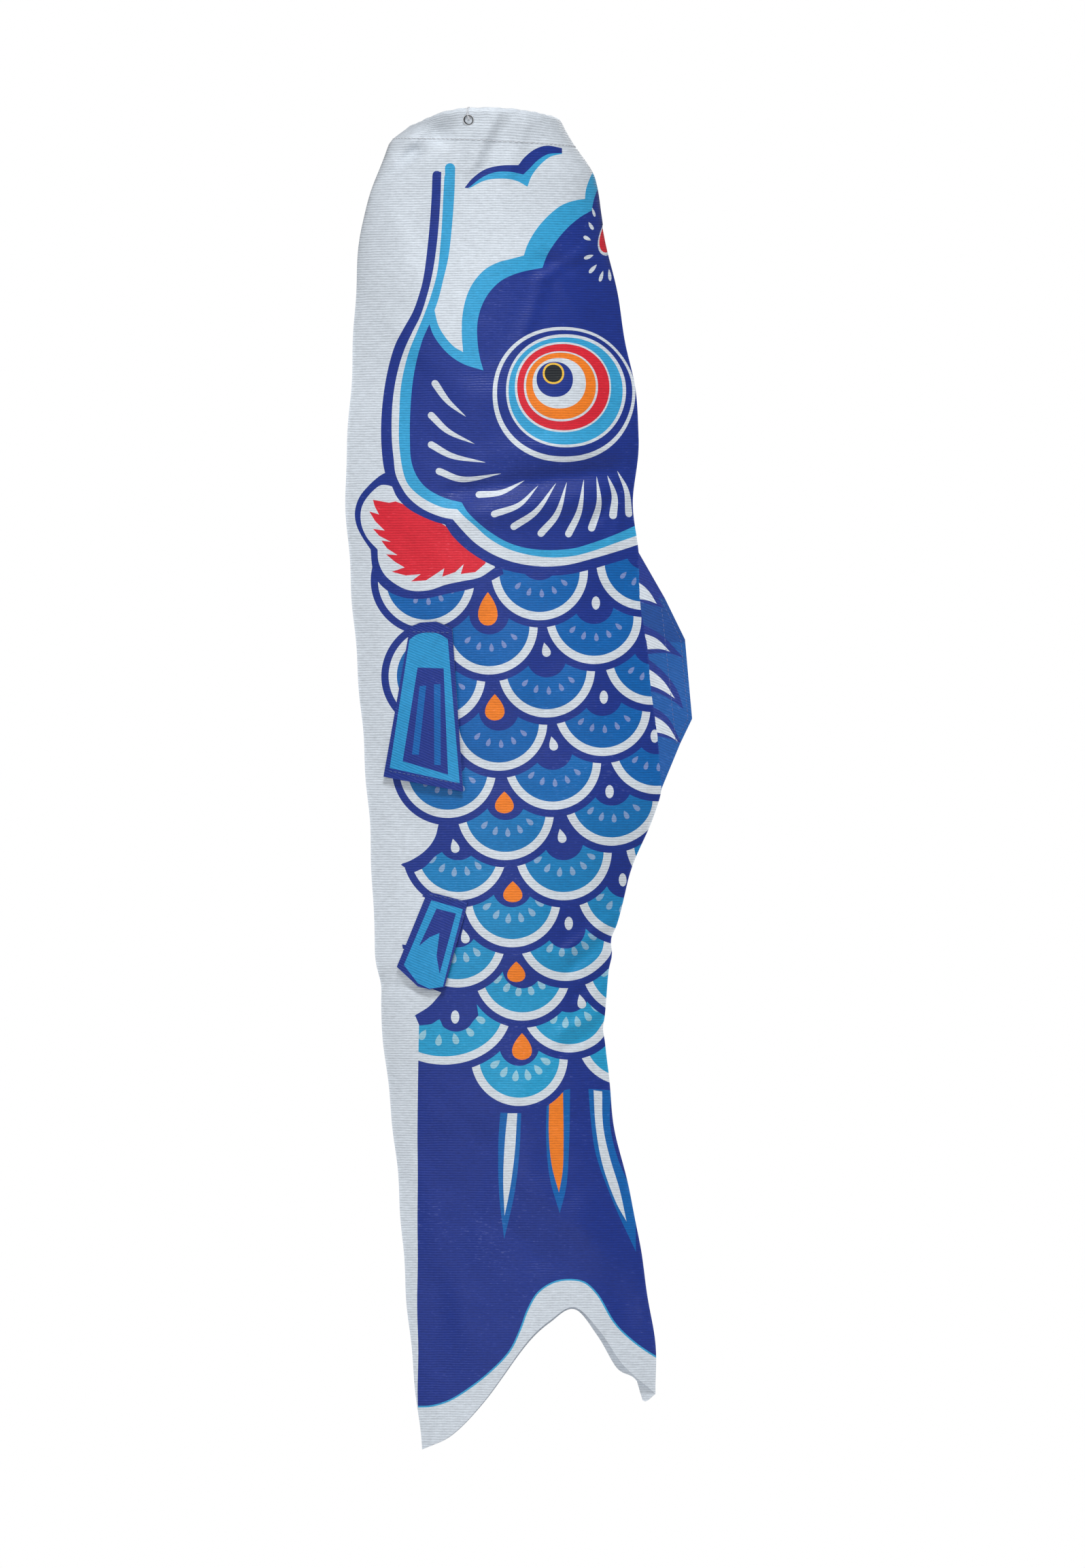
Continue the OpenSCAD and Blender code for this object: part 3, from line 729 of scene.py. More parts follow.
def cut_print(outline, base, shapes, spacing):
    """Cuts a flat outline along every edge of its print: (places, triangles, colour of each triangle)."""
    outline = np.asarray(outline, float)
    low, high = outline.min(0), outline.max(0)
    gx, gd = np.meshgrid(
        np.arange(low[0] + spacing / 2, high[0], spacing),
        np.arange(low[1] + spacing / 2, high[1], spacing * 0.87),
    )
    gx[1::2] += spacing / 2
    grid = np.stack([gx.ravel(), gd.ravel()], axis=-1)
    grid = grid[within(grid, outline)]
    colours = [base]
    loops = [outline]
    for colour, loop in shapes:
        loop = np.asarray(loop, float)
        if (loop.min(0) < high).all() and (loop.max(0) > low).all():
            colours.append(colour)
            loops.append(outline_of(loop, spacing))
    points, faces = [], []
    for loop in loops:
        x, d = loop.T
        twice_area = np.sum(x * np.roll(d, -1) - np.roll(x, -1) * d)
        loop = loop if twice_area < 0 else loop[::-1]
        faces.append(list(range(len(points), len(points) + len(loop))))
        points += [Vector((x, -d)) for x, d in loop]
    points += [Vector((x, -d)) for x, d in grid]
    places, _, triangles, _, _, sources = delaunay_2d_cdt(points, [], faces, 1, 0.004, True)
    places = np.array([(p.x, -p.y) for p in places])
    kept = [i for i, s in enumerate(sources) if 0 in s]
    triangles = np.array([triangles[i] for i in kept])
    colours = np.array(colours)[[max(sources[i]) for i in kept]]
    used, triangles = np.unique(triangles, return_inverse=True)
    return places[used], triangles.reshape(-1, 3), colours


def pale(colours, share):
    """Colours as they show on the cloth's reverse."""
    return colours * (1 - share) + np.array(WHITE) * share


def sewn_sheet(name, cut, place, facing, side, thickness, materials, reverse=0.45):
    """A printed sheet with its own thickness: outer layer, paler inner layer and a rim."""
    flat, triangles, colours = cut
    outer = place(flat[:, 0], flat[:, 1])
    normals = facing(flat[:, 0], flat[:, 1])
    inner = outer - normals * thickness * MM
    count = len(flat)
    front = triangles if side < 0 else triangles[:, ::-1]
    rear = front[:, ::-1] + count
    edges = np.concatenate([front[:, [0, 1]], front[:, [1, 2]], front[:, [2, 0]]])
    keys = edges[:, 0].astype(np.int64) * count + edges[:, 1]
    back_keys = edges[:, 1].astype(np.int64) * count + edges[:, 0]
    border = edges[~np.isin(keys, back_keys)]
    owner = np.tile(np.arange(len(front)), 3)[~np.isin(keys, back_keys)]
    a, b = border[:, 0], border[:, 1]
    rims = np.concatenate([np.stack([b, a, a + count], -1), np.stack([b, a + count, b + count], -1)])
    faces = np.concatenate([front, rear, rims])
    tints = np.concatenate([colours, pale(colours, reverse), np.tile(pale(colours[owner], 0.5), (2, 1))])
    mesh = bpy.data.meshes.new(name)
    mesh.from_pydata(np.concatenate([outer, inner]).tolist(), [], faces.tolist())
    paint = mesh.color_attributes.new("print", "FLOAT_COLOR", "CORNER")
    corner = np.repeat(np.concatenate([tints, np.ones((len(tints), 1))], axis=1), 3, axis=0)
    paint.data.foreach_set("color", corner.astype(np.float32).ravel())
    weave = mesh.uv_layers.new(name="weave")
    spot = np.concatenate([flat, flat])[faces.ravel()] * MM
    weave.data.foreach_set("uv", spot.astype(np.float32).ravel())
    for material in materials:
        mesh.materials.append(material)
    slots = np.zeros(len(faces), np.int32)
    slots[len(front):] = len(materials) - 1
    mesh.polygons.foreach_set("material_index", slots)
    mesh.shade_smooth()
    mesh.normals_split_custom_set_from_vertices(np.concatenate([normals, -normals]).tolist())
    mesh.update()
    return link(name, mesh)


def lay_weave(piece, spots):
    """Gives each vertex of a piece its place on the cloth, in metres, which the weave follows."""
    weave = piece.data.uv_layers.new(name="weave")
    corners = np.empty(len(piece.data.loops), np.int32)
    piece.data.loops.foreach_get("vertex_index", corners)
    weave.data.foreach_set("uv", spots[corners].astype(np.float32).ravel())


def grid_faces(rows, columns, closed_rows=False, closed_columns=False):
    """Quads over a grid of rows x columns points."""
    faces = []
    for r in range(rows if closed_rows else rows - 1):
        for c in range(columns if closed_columns else columns - 1):
            r2, c2 = (r + 1) % rows, (c + 1) % columns
            faces.append((r * columns + c, r2 * columns + c, r2 * columns + c2, r * columns + c2))
    return faces


def tube(points, radius, sides=8, closed=False):
    """Points and faces of a round tube along points, both in metres."""
    p = np.asarray(points, float)
    way = np.roll(p, -1, 0) - np.roll(p, 1, 0)
    if not closed:
        way[0], way[-1] = p[1] - p[0], p[-1] - p[-2]
    way /= np.linalg.norm(way, axis=1)[:, None]
    helper = np.array([0.31, 0.17, 0.93])
    sideways = np.cross(way, helper)
    sideways /= np.linalg.norm(sideways, axis=1)[:, None]
    up = np.cross(way, sideways)
    angle = np.arange(sides) * 2 * math.pi / sides
    radius = np.broadcast_to(radius, len(p))
    ring = sideways[:, None] * np.cos(angle)[:, None] + up[:, None] * np.sin(angle)[:, None]
    rings = p[:, None] + radius[:, None, None] * ring
    faces = grid_faces(len(p), sides, closed, True)
    if not closed:
        faces += [tuple(range(sides)), tuple((len(p) - 1) * sides + i for i in reversed(range(sides)))]
    return rings.reshape(-1, 3), faces


def add_tube(points, faces, *shape, **more):
    """Adds a tube to a mesh in the making."""
    ring, sides = tube(*shape, **more)
    faces += [tuple(i + len(points) for i in face) for face in sides]
    points += ring.tolist()


def stitches(name, line, outward, material, pitch, length, radius):
    """A row of short thread stitches along a line that lies on cloth; the ends dip into it."""
    line, outward = np.asarray(line), np.asarray(outward)
    run = np.concatenate([[0], np.cumsum(np.linalg.norm(np.diff(line, axis=0), axis=1))]) / MM
    points, faces = [], []
    start = pitch * 0.3
    while start + length < run[-1]:
        spots = np.linspace(start, start + length, 6)
        mid = np.stack([np.interp(spots, run, line[:, k]) for k in range(3)], -1)
        out = np.stack([np.interp(spots, run, outward[:, k]) for k in range(3)], -1)
        lift = np.array([-0.25, 0.12, 0.2, 0.2, 0.12, -0.25]) * MM * radius / 0.22
        thick = np.array([0.7, 1, 1.05, 1.05, 1, 0.7]) * radius * MM
        add_tube(points, faces, mid + out * lift[:, None], thick, 6)
        start += pitch
    return mesh_object(name, points, faces, material)


# ---------------------------------------------------------------- materials


class Look:
    """A new material, with short ways to add and join its nodes."""

    def __init__(self, name, **settings):
        """Starts a material; settings are the shader's inputs, with _ for each space."""
        self.material = bpy.data.materials.new(name)
        self.material.use_nodes = True
        self.tree = self.material.node_tree
        self.shader = self.tree.nodes["Principled BSDF"]
        for key, value in settings.items():
            self.feed(self.shader.inputs[key.replace("_", " ")], value)

    def feed(self, socket, value):
        """Gives a socket a fixed value or another node's output."""
        if isinstance(value, bpy.types.NodeSocket):
            self.tree.links.new(value, socket)
        else:
            socket.default_value = value

    def add(self, kind, feeds=(), **settings):
        """A node; feeds holds (socket, value) pairs, and settings its inputs and options by name."""
        made = self.tree.nodes.new(kind)
        for key, value in settings.items():
            if key in made.inputs:
                self.feed(made.inputs[key], value)
            else:
                setattr(made, key, value)
        for key, value in feeds:
            self.feed(made.inputs[key], value)
        return made

    def calc(self, operation, a, b=0.0):
        """The result of one sum."""
        return self.add("ShaderNodeMath", [(0, a), (1, b)], operation=operation).outputs[0]

    def vector(self, operation, a, b=(0, 0, 0)):
        """A node that works on two vectors."""
        return self.add("ShaderNodeVectorMath", [(0, a), (1, b)], operation=operation)

    def noise(self, place, scale, detail, roughness=0.5):
        """Cloudy noise; a larger scale is finer."""
        settings = {"Vector": place, "Scale": scale, "Detail": detail, "Roughness": roughness}
        return self.add("ShaderNodeTexNoise", settings.items()).outputs[0]

    def mapping(self, place, turn=0.0, stretch=(1, 1, 1)):
        """A place turned by degrees in the cloth's plane, and scaled."""
        settings = {"Vector": place, "Rotation": (0, 0, math.radians(turn)), "Scale": stretch}
        return self.add("ShaderNodeMapping", settings.items()).outputs[0]

    def span(self, value, low=0.0, high=1.0, to_low=0.0, to_high=1.0):
        """Takes a value from one range into another, and holds it there."""
        settings = {"Value": value, "From Min": low, "From Max": high, "To Min": to_low, "To Max": to_high}
        return self.add("ShaderNodeMapRange", settings.items()).outputs[0]

    def mix(self, share, a, b):
        """A colour between two others."""
        return self.add("ShaderNodeMix", [(0, share), (6, a), (7, b)], data_type="RGBA").outputs[2]

    def finish(self, colour, roughness, height, strength, distance):
        """Joins colour, roughness and bump to the shader."""
        bump = self.add("ShaderNodeBump", Height=height, Strength=strength, Distance=distance)
        self.feed(self.shader.inputs["Base Color"], colour)
        self.feed(self.shader.inputs["Roughness"], roughness)
        self.feed(self.shader.inputs["Normal"], bump.outputs[0])
        return self.material


RIB_PITCH = 0.0013
YARN_PITCH = 0.00062


def shade(colour, share=1.0):
    """A colour made darker or lighter, as a node takes it."""
    return (*[min(c * share, 1) for c in colour], 1)


def cloth_material(name, colour=None, gloss=0.42, tilt=0.0, glow=0.0):
    """Ribbed satin polyester; its colour is the print, or one colour, with painted light on top: glints,
    sheen streaks, lighter rib crests and shaded rib grooves.
    """
    look = Look(name, Specular_IOR_Level=0.35, Sheen_Weight=0.07, Sheen_Roughness=0.45)
    calc = look.calc
    spot = look.mapping(look.add("ShaderNodeUVMap", uv_map="weave").outputs[0], tilt)
    waver = look.noise(spot, 55.0, 2.0)
    parts = look.add("ShaderNodeSeparateXYZ", [(0, spot)])
    along = calc("ADD", parts.outputs[1], calc("MULTIPLY", waver, 0.0011))
    rib = calc("SINE", calc("MULTIPLY", along, 2 * math.pi / RIB_PITCH))
    yarn = calc("SINE", calc("MULTIPLY", parts.outputs[0], 2 * math.pi / YARN_PITCH))
    grain = look.noise(look.mapping(spot, stretch=(0.35, 1, 1)), 1500.0, 3.0, 0.65)
    patch = look.noise(spot, 16.0, 3.0)
    # painted sheen: diagonal streaks that stand in for the satin's sheen, used in the colour and in the
    # glints
    sheen_streaks = look.noise(look.mapping(spot, -50, (0.3, 1, 1)), 720.0, 2.0, 0.6)
    height = calc("ADD", calc("MULTIPLY", rib, 0.22), calc("MULTIPLY", yarn, 0.05))
    height = calc("ADD", height, calc("MULTIPLY", grain, 0.3))
    # colour tone: grain and patch give the yarn's random tone; the rib term is painted light and shade,
    # lighter on rib crests and darker in the grooves; the sheen streaks are painted sheen
    tone = calc("ADD", calc("MULTIPLY", rib, 0.09), calc("MULTIPLY", grain, 0.50))
    tone = calc("ADD", tone, calc("MULTIPLY", patch, 0.16))
    tone = calc("ADD", tone, calc("MULTIPLY", sheen_streaks, 0.40))
    tone = calc("ADD", tone, 0.47)
    if colour is None:
        source = look.add("ShaderNodeVertexColor", layer_name="print").outputs[0]
    else:
        source = look.add("ShaderNodeRGB").outputs[0]
        source.default_value = shade(colour)
    tinted = look.vector("SCALE", source)
    look.feed(tinted.inputs["Scale"], tone)
    # painted glints: where grain, sheen streaks and patches run high, the colour is mixed toward pale
    # blue-white, standing in for the satin's sparkle
    lit = calc("MULTIPLY", calc("ADD", grain, sheen_streaks), 0.5)
    lit = calc("ADD", lit, calc("MULTIPLY", calc("SUBTRACT", patch, 0.5), 0.3))
    print_with_painted_glints = look.mix(look.span(lit, 0.60, 0.86, 0.0, 0.22), tinted.outputs[0], (0.62, 0.66, 0.80, 1))
    # painted light: the emission makes the cloth glow, standing in for light shining through the thin cloth
    if glow:
        look.feed(look.shader.inputs["Emission Color"], print_with_painted_glints)
        look.feed(look.shader.inputs["Emission Strength"], glow)
    rough = look.span(grain, 0.3, 0.7, gloss + 0.2, gloss - 0.1)
    return look.finish(print_with_painted_glints, rough, height, 0.8, 0.0003)


def thread_material(name, colour):
    """Twisted polyester sewing thread."""
    look = Look(name, Sheen_Weight=0.3)
    place = look.add("ShaderNodeTexCoord").outputs["Object"]
    twist = look.add(
        "ShaderNodeTexWave", [(0, place)], Scale=900.0, Distortion=2.0, bands_direction="DIAGONAL"
    ).outputs[1]
    return look.finish(look.mix(twist, shade(colour, 0.75), shade(colour)), 0.55, twist, 0.5, 0.0001)


def hard_material(name, colour, metal, rough, scratch, bore=None):
    """Wire or moulded plastic with fine wear; a bore is (centre, axis, radius), and it is painted near black
    as shade inside the hole.
    """
    look = Look(name, Metallic=metal)
    place = look.add("ShaderNodeTexCoord").outputs["Object"]
    wear = look.noise(place, scratch, 5.0, 0.7)
    tint = look.mix(wear, shade(colour, 0.72), shade(colour, 1.12))
    if bore:
        centre, axis, radius = bore
        off_axis = look.vector("CROSS_PRODUCT", look.vector("SUBTRACT", place, centre).outputs[0], axis)
        reach = look.vector("LENGTH", off_axis.outputs[0]).outputs["Value"]
        # painted shade: the bore is coloured near black, standing in for the shade inside the hole
        bore_shade = look.span(reach, radius * 1.15, radius * 1.25)
        tint = look.mix(bore_shade, (0.016, 0.017, 0.020, 1), tint)
    return look.finish(tint, look.span(wear, 0, 1, rough - 0.08, rough + 0.15), wear, 0.25, 0.0001)


printed_cloth = cloth_material("printed_cloth")
# the reverse glows a little: painted light for light shining through the thin cloth
reverse_cloth = cloth_material("printed_cloth_reverse", gloss=0.5, glow=0.05)
fin_cloth = cloth_material("fin_cloth", tilt=-23.0)
plain_cloth = cloth_material("white_cloth", colour=WHITE)
white_thread = thread_material("white_thread", (0.80, 0.82, 0.86))
navy_thread = thread_material("navy_thread", (0.10, 0.17, 0.48))
wire_steel = hard_material("hoop_wire", (0.55, 0.57, 0.60), 1.0, 0.30, 900.0)
tube_steel = hard_material("ferrule_tube", (0.46, 0.47, 0.49), 1.0, 0.40, 600.0)

mounts = {mount["name"]: mount for mount in frame["record"]["mounts"]}
eyelet_middle = {}
eyelet_axis = {}
eyelet_white = {}
for side, node_name in ((-1, "front_eyelet"), (1, "back_eyelet")):
    low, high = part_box(node_name)
    eyelet_middle[side] = np.array((low + high) / 2)
    eyelet_axis[side] = -np.array(mounts[node_name]["axis"])
    inverse = frame["nodes"][node_name].matrix_world.inverted()
    bore_radius = mounts[node_name]["dims"]["r_mm"] * MM
    bore = (inverse @ Vector(eyelet_middle[side]), inverse.to_3x3() @ Vector(eyelet_axis[side]), bore_radius)
    eyelet_white[side] = hard_material(f"{node_name}_plastic", (0.72, 0.75, 0.79), 0.0, 0.35, 700.0, bore)

for node_name, material in (
    ("mouth_hoop", wire_steel), ("hoop_ferrule", tube_steel), ("front_eyelet", eyelet_white[-1]),
    ("back_eyelet", eyelet_white[1]),
):
    shown = frame["nodes"][node_name]
    shown.data.materials.clear()
    shown.data.materials.append(material)

# ---------------------------------------------------------------- sleeve

CUT_DROP = 458.0
BODY_BEND, BODY_BEND_REACH = 387.0, 22
TAIL_BEND, TAIL_BEND_REACH = 530.0, 30


def edge_line(line, start, end):
    """A folded edge of the sleeve, as places."""
    drops = np.linspace(start, end, max(2, int(abs(end - start) / 2.5) + 1))
    return np.stack([line(drops), drops], axis=-1)


def end_line(u, drops):
    """One end of a panel: across runs from belly (-1) to back (1), at these drops."""
    low, high = belly(drops), back(drops)
    return np.stack([(low + high) / 2 + (high - low) / 2 * u, drops], axis=-1)


def fore_outline():
    """The side panel from the hem's stitches down to the cut."""
    u = np.cos(np.linspace(math.pi, 0, 90))
    drops = stitch_drop(u)
    top = end_line(u, drops)
    down = edge_line(back, drops[-1], CUT_DROP)
    low, high = float(belly(CUT_DROP)), float(back(CUT_DROP))
    across_cut = np.stack([np.linspace(high, low, 60), np.full(60, CUT_DROP)], axis=-1)
    up = edge_line(belly, CUT_DROP, drops[0])
    return np.vstack([top[:-1], down[:-1], across_cut[:-1], up[:-1]])


def rear_outline(tail_edge):
    """The side panel from the cut down to the forked tail."""
    low, high = float(belly(CUT_DROP)), float(back(CUT_DROP))
    across_cut = np.stack([np.linspace(low, high, 60), np.full(60, CUT_DROP)], axis=-1)
    u = np.linspace(1, -1, 90)
    drops = smooth(tail_edge, u)
    fork = end_line(u, drops)
    down = edge_line(back, CUT_DROP, drops[0])
    up = edge_line(belly, drops[-1], CUT_DROP)
    return np.vstack([across_cut[:-1], down[:-1], fork[:-1], up[:-1]])


SPACING = 2.3
FIN_SPACING = 2.4
print_shapes = fish_print()
fore_cut = cut_print(fore_outline(), WHITE, print_shapes, SPACING)
rear_cuts = {
    -1: cut_print(rear_outline(LEFT_TAIL_EDGE), WHITE, print_shapes, SPACING),
    1: cut_print(rear_outline(RIGHT_TAIL_EDGE), WHITE, print_shapes, SPACING),
}


def bend(piece, drop, reach):
    """Bakes a piece's transform into its mesh."""
    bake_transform(piece)


panels = {}
for side, word in ((-1, "left"), (1, "right")):
    def place(x, d, side=side):
        return skin(x, d, side)

    def facing(x, d, side=side):
        return skin_normal(x, d, side)

    cloths = [printed_cloth, reverse_cloth]
    fore = sewn_sheet(f"{word}_side_fore", fore_cut, place, facing, side, CLOTH, cloths)
    rear = sewn_sheet(f"{word}_side_rear", rear_cuts[side], place, facing, side, CLOTH, cloths)
    panels[side] = (fore, rear)
    bend(fore, BODY_BEND, BODY_BEND_REACH)
    bend(rear, TAIL_BEND, TAIL_BEND_REACH)
    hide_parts(f"{word}_fore_panel", f"{word}_middle_panel")
    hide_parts(f"{word}_tail_panel")

# ---------------------------------------------------------------- hem

RING = 300
ROLL = 2.6
EYELET_HOLE = 2.72
HEM_STITCH = {"pitch": 2.9, "length": 2.3, "radius": 0.17}
FIN_STITCH = {"pitch": 2.6, "length": 1.9, "radius": 0.17}
DORSAL_STITCH = {"pitch": 2.6, "length": 1.9, "radius": 0.15}


def rim_drop(u):
    """The cloth's top edge, a little squarer than the hoop at the front end."""
    return np.where(u < 0, 8.0 * np.abs(u) ** 2.8, 4.0 * u**2)


def hem_places(angle, share, inset):
    """A point of the hem: share is 0 at the rim and 1 at the stitch line, inset is inward."""
    u = np.cos(angle)
    top, end = rim_drop(u), stitch_drop(u)
    d = top + (end - top) * share
    low, high = belly(d), back(d)
    x = (low + high) / 2 + (high - low) / 2 * u
    side = np.where(np.sin(angle) < 0, -1.0, 1.0)
    front, rear = skin(x, d, -1), skin(x, d, 1)
    p = np.where((side < 0)[..., None], front, rear)
    half_x, half_y = (high - low) / 2, smooth(DEPTH_LINE, d)
    nx, ny = np.cos(angle) / half_x, np.sin(angle) / half_y
    size = np.hypot(nx, ny)
    p[..., 0] -= inset * nx / size * MM
    p[..., 1] -= inset * ny / size * MM
    return p


def hem_profile():
    """Shares and insets of the turned cloth's middle line, from the stitch line over the hoop and back."""
    outer = [(1.05, 0.75), (1.01, 0.6)] + [(s, CLOTH / 2) for s in np.linspace(0.985, ROLL / HEM_TURN, 14)]
    roll = [
        ((ROLL - ROLL * math.sin(a)) / HEM_TURN, ROLL - (ROLL - CLOTH / 2) * math.cos(a))
        for a in np.linspace(0, math.pi, 11)[1:]
    ]
    inner = [
        (0.24, 5.15), (0.32, 4.7), (0.45, 3.9), (0.6, 2.9), (0.75, 1.9), (0.88, 1.1), (1, 0.75),
        (1.08, 0.85),
    ]
    return np.array(outer + roll + inner)


def hem_band():
    """The hem as one closed band of cloth."""
    angles = np.arange(RING) * 2 * math.pi / RING
    middle = hem_profile()
    way = np.gradient(middle * np.array([HEM_TURN, 1]), axis=0)
    way /= np.linalg.norm(way, axis=1)[:, None]
    off = np.stack([-way[:, 1] / HEM_TURN, way[:, 0]], axis=-1) * CLOTH / 2
    loop = np.vstack([middle + off, (middle - off)[::-1]])
    angle, _ = np.meshgrid(angles, loop[:, 0], indexing="ij")
    share = np.broadcast_to(loop[:, 0], angle.shape)
    wave = 0.25 * np.sin(angle * 23) + 0.2 * np.sin(angle * 37 + 1)
    inset = loop[:, 1] + wave * np.clip(loop[:, 1] - 0.6, 0, 1) * 0.8
    points = hem_places(angle, share, inset)
    points[..., 2] += (0.12 * np.sin(angle * 31) + 0.1 * np.sin(angle * 17 + 2)) * MM * (share < 0.3)
    faces = grid_faces(RING, len(loop), True, True)
    band = mesh_object("mouth_hem_band", points.reshape(-1, 3), faces, plain_cloth)
    girth = np.arange(RING)[:, None] / RING * 0.25 + np.zeros(len(loop))
    steps = np.linalg.norm(np.diff(loop * np.array([HEM_TURN, 1]), axis=0), axis=1)
    run = np.concatenate([[0], np.cumsum(steps)]) * MM
    lay_weave(band, np.stack([girth, np.broadcast_to(run, girth.shape)], axis=-1).reshape(-1, 2))
    return band


def punch_hole(piece, centre, axis, radius, length):
    """Cuts a round hole through a piece."""
    axis = np.asarray(axis) / np.linalg.norm(axis)
    points, faces = tube([centre - axis * length, centre, centre + axis * length], radius, 40)
    cutter = mesh_object("cutter", points, faces, plain_cloth)
    cut = piece.modifiers.new("hole", "BOOLEAN")
    cut.operation = "DIFFERENCE"
    cut.solver = "EXACT"
    cut.object = cutter
    bpy.context.view_layer.update()
    done = bpy.data.meshes.new_from_object(piece.evaluated_get(bpy.context.evaluated_depsgraph_get()))
    piece.modifiers.clear()
    piece.data = done
    bpy.data.objects.remove(cutter)


hem = hem_band()
for side in (-1, 1):
    punch_hole(hem, eyelet_middle[side], eyelet_axis[side], EYELET_HOLE * MM, 1.6 * MM)
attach(hem, "fore_body")
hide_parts("mouth_hem")

angles = np.linspace(0, 2 * math.pi, 721)
stitch_line = hem_places(angles, np.full_like(angles, 0.955), np.full_like(angles, -0.02))
outward = np.stack([np.cos(angles), np.sin(angles), np.zeros_like(angles)], axis=-1)
hem_stitches = stitches("hem_stitches", stitch_line, outward, white_thread, **HEM_STITCH)
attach(hem_stitches, "fore_body")


def tie_loop(name, side):
    """A thread sewn through the eyelet and over the rim round the hoop, with its knot."""
    section = [
        (-0.45, 6.3), (-0.55, 4.6), (-0.5, 2.4), (0.5, 0.5), (2.6, -0.45), (4.8, 0.5), (5.75, 2.8),
        (5.7, 5.2), (4.2, 6.6), (2.0, 6.7), (0.3, 6.6),
    ]
    spot = eyelet_middle[side]
    u = float(across(spot[0] / MM, 6.2))
    angle = -math.acos(u) if side < 0 else math.acos(u)
    rise = float(rim_drop(np.array(u)))
    points, faces = [], []
    for shift in (-0.32, 0.34):
        ring = []
        for inset, drop in section:
            share = (drop - rise) / float(stitch_drop(u) - rise)
            p = hem_places(np.array([angle]), np.array([max(share, 0.0)]), np.array([inset]))[0]
            p[2] = -drop * MM
            p[0] += shift * MM * (1 + 0.4 * math.sin(drop))
            ring.append(p)
        closed = np.vstack([ring, ring[:1]])
        t = np.arange(len(closed))
        fine = np.linspace(0, len(ring), 60, endpoint=False)
        path = np.stack([np.interp(fine, t, closed[:, k]) for k in range(3)], -1)
        for _ in range(4):
            path = 0.5 * path + 0.25 * (np.roll(path, 1, 0) + np.roll(path, -1, 0))
        add_tube(points, faces, path, 0.22 * MM, 8, closed=True)
        knot_at = ring[0]
    turns = np.linspace(0, 4 * math.pi, 48, endpoint=False)
    knot = np.stack([
        knot_at[0] + 0.42 * MM * np.cos(turns),
        knot_at[1] + side * 0.25 * MM * np.sin(turns * 1.5),
        knot_at[2] + MM * (1.3 + 0.35 * np.sin(turns) + 0.2 * np.cos(turns * 0.5)),
    ], axis=-1)
    add_tube(points, faces, knot, 0.2 * MM, 8, closed=True)
    loop = mesh_object(name, points, faces, white_thread)
    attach(loop, "fore_body")


tie_loop("front_tie_thread", -1)
tie_loop("back_tie_thread", 1)

# ---------------------------------------------------------------- seams


def seam_band(name, line, toward, start, end):
    """The two edges of cloth turned inside the sleeve, sewn together along its fold."""
    drops = np.linspace(start, end, int((end - start) / 4) + 1)
    section = [
        (2.0, 0.12), (3.2, 0.34), (5.5, 0.3), (7.0, 0.55), (7.0, 0.2), (5.5, 0.02), (3.2, 0.03), (2.0, 0.03),
    ]
    section += [(w, -t) for w, t in reversed(section)]
    points = []
    for d in drops:
        edge = float(line(d))
        sway = 0.35 * math.sin(d / 9.0) + 0.2 * math.sin(d / 4.1 + 1)
        for w, t in section:
            width = w + 0.4 * math.sin(d / 13.0) * (w > 6)
            points.append(((edge + toward * width) * MM, (t + sway * (w / 7) ** 2) * MM, -d * MM))
    count = len(section)
    faces = grid_faces(len(drops), count, False, True)
    faces += [tuple(range(count)), tuple((len(drops) - 1) * count + i for i in reversed(range(count)))]
    piece = mesh_object(name, points, faces, plain_cloth)
    lay_weave(piece, np.array([(p[0], -p[2]) for p in points]))
    return piece


for word, line, toward, top, end in (("back", back, -1, 24, 652), ("belly", belly, 1, 30, 688)):
    fore = seam_band(f"{word}_seam_allowance_fore", line, toward, top, CUT_DROP)
    bend(fore, BODY_BEND, BODY_BEND_REACH)
    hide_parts(f"{word}_seam_fore", f"{word}_seam_middle")
    rear = seam_band(f"{word}_seam_allowance_rear", line, toward, CUT_DROP, end)
    bend(rear, TAIL_BEND, TAIL_BEND_REACH)
    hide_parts(f"{word}_seam_tail")

# ---------------------------------------------------------------- fins


def normals_by_steps(place, side):
    """A function that gives the outward normals of a surface from its slopes."""
    def facing(x, d):
        step = 0.2
        a = place(x + step, d) - place(x - step, d)
        b = place(x, d + step) - place(x, d - step)
        n = np.cross(a, b)
        n *= np.sign(n[:, 1] * side)[:, None]
        return n / np.linalg.norm(n, axis=1)[:, None]
    return facing


def flap_place(top_line, length, side, lift):
    """A fin that is sewn on along its top edge and lies on the sleeve below it."""
    def place(x, d):
        t = np.clip((d - top_line(x)) / length, 0, 1)
        folds = relief(x, d, side) * (1 - 0.75 * t)
        sway = 0.5 * np.sin(x / 7.0 + d / 19.0) * t + 0.35 * np.sin(d / 11.0 + side) * t
        hem_ridge = 0.22 * np.exp(-(((t - 0.965) / 0.03) ** 2)) + 0.2 * np.exp(-(((t - 0.03) / 0.03) ** 2))
        y = bulge(x, d) + folds + 0.75 + lift * t**1.3 + sway + hem_ridge
        return np.stack([x, side * y, -d], axis=-1) * MM
    return place


def top_edge(corners):
    """The drop of a fin's sewn edge at x."""
    (x1, d1), (x2, d2) = corners
    return lambda x: d1 + (x - x1) * (d2 - d1) / (x2 - x1)


def hang(piece):
    """Bakes a pectoral fin piece's transform into its mesh."""
    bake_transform(piece)


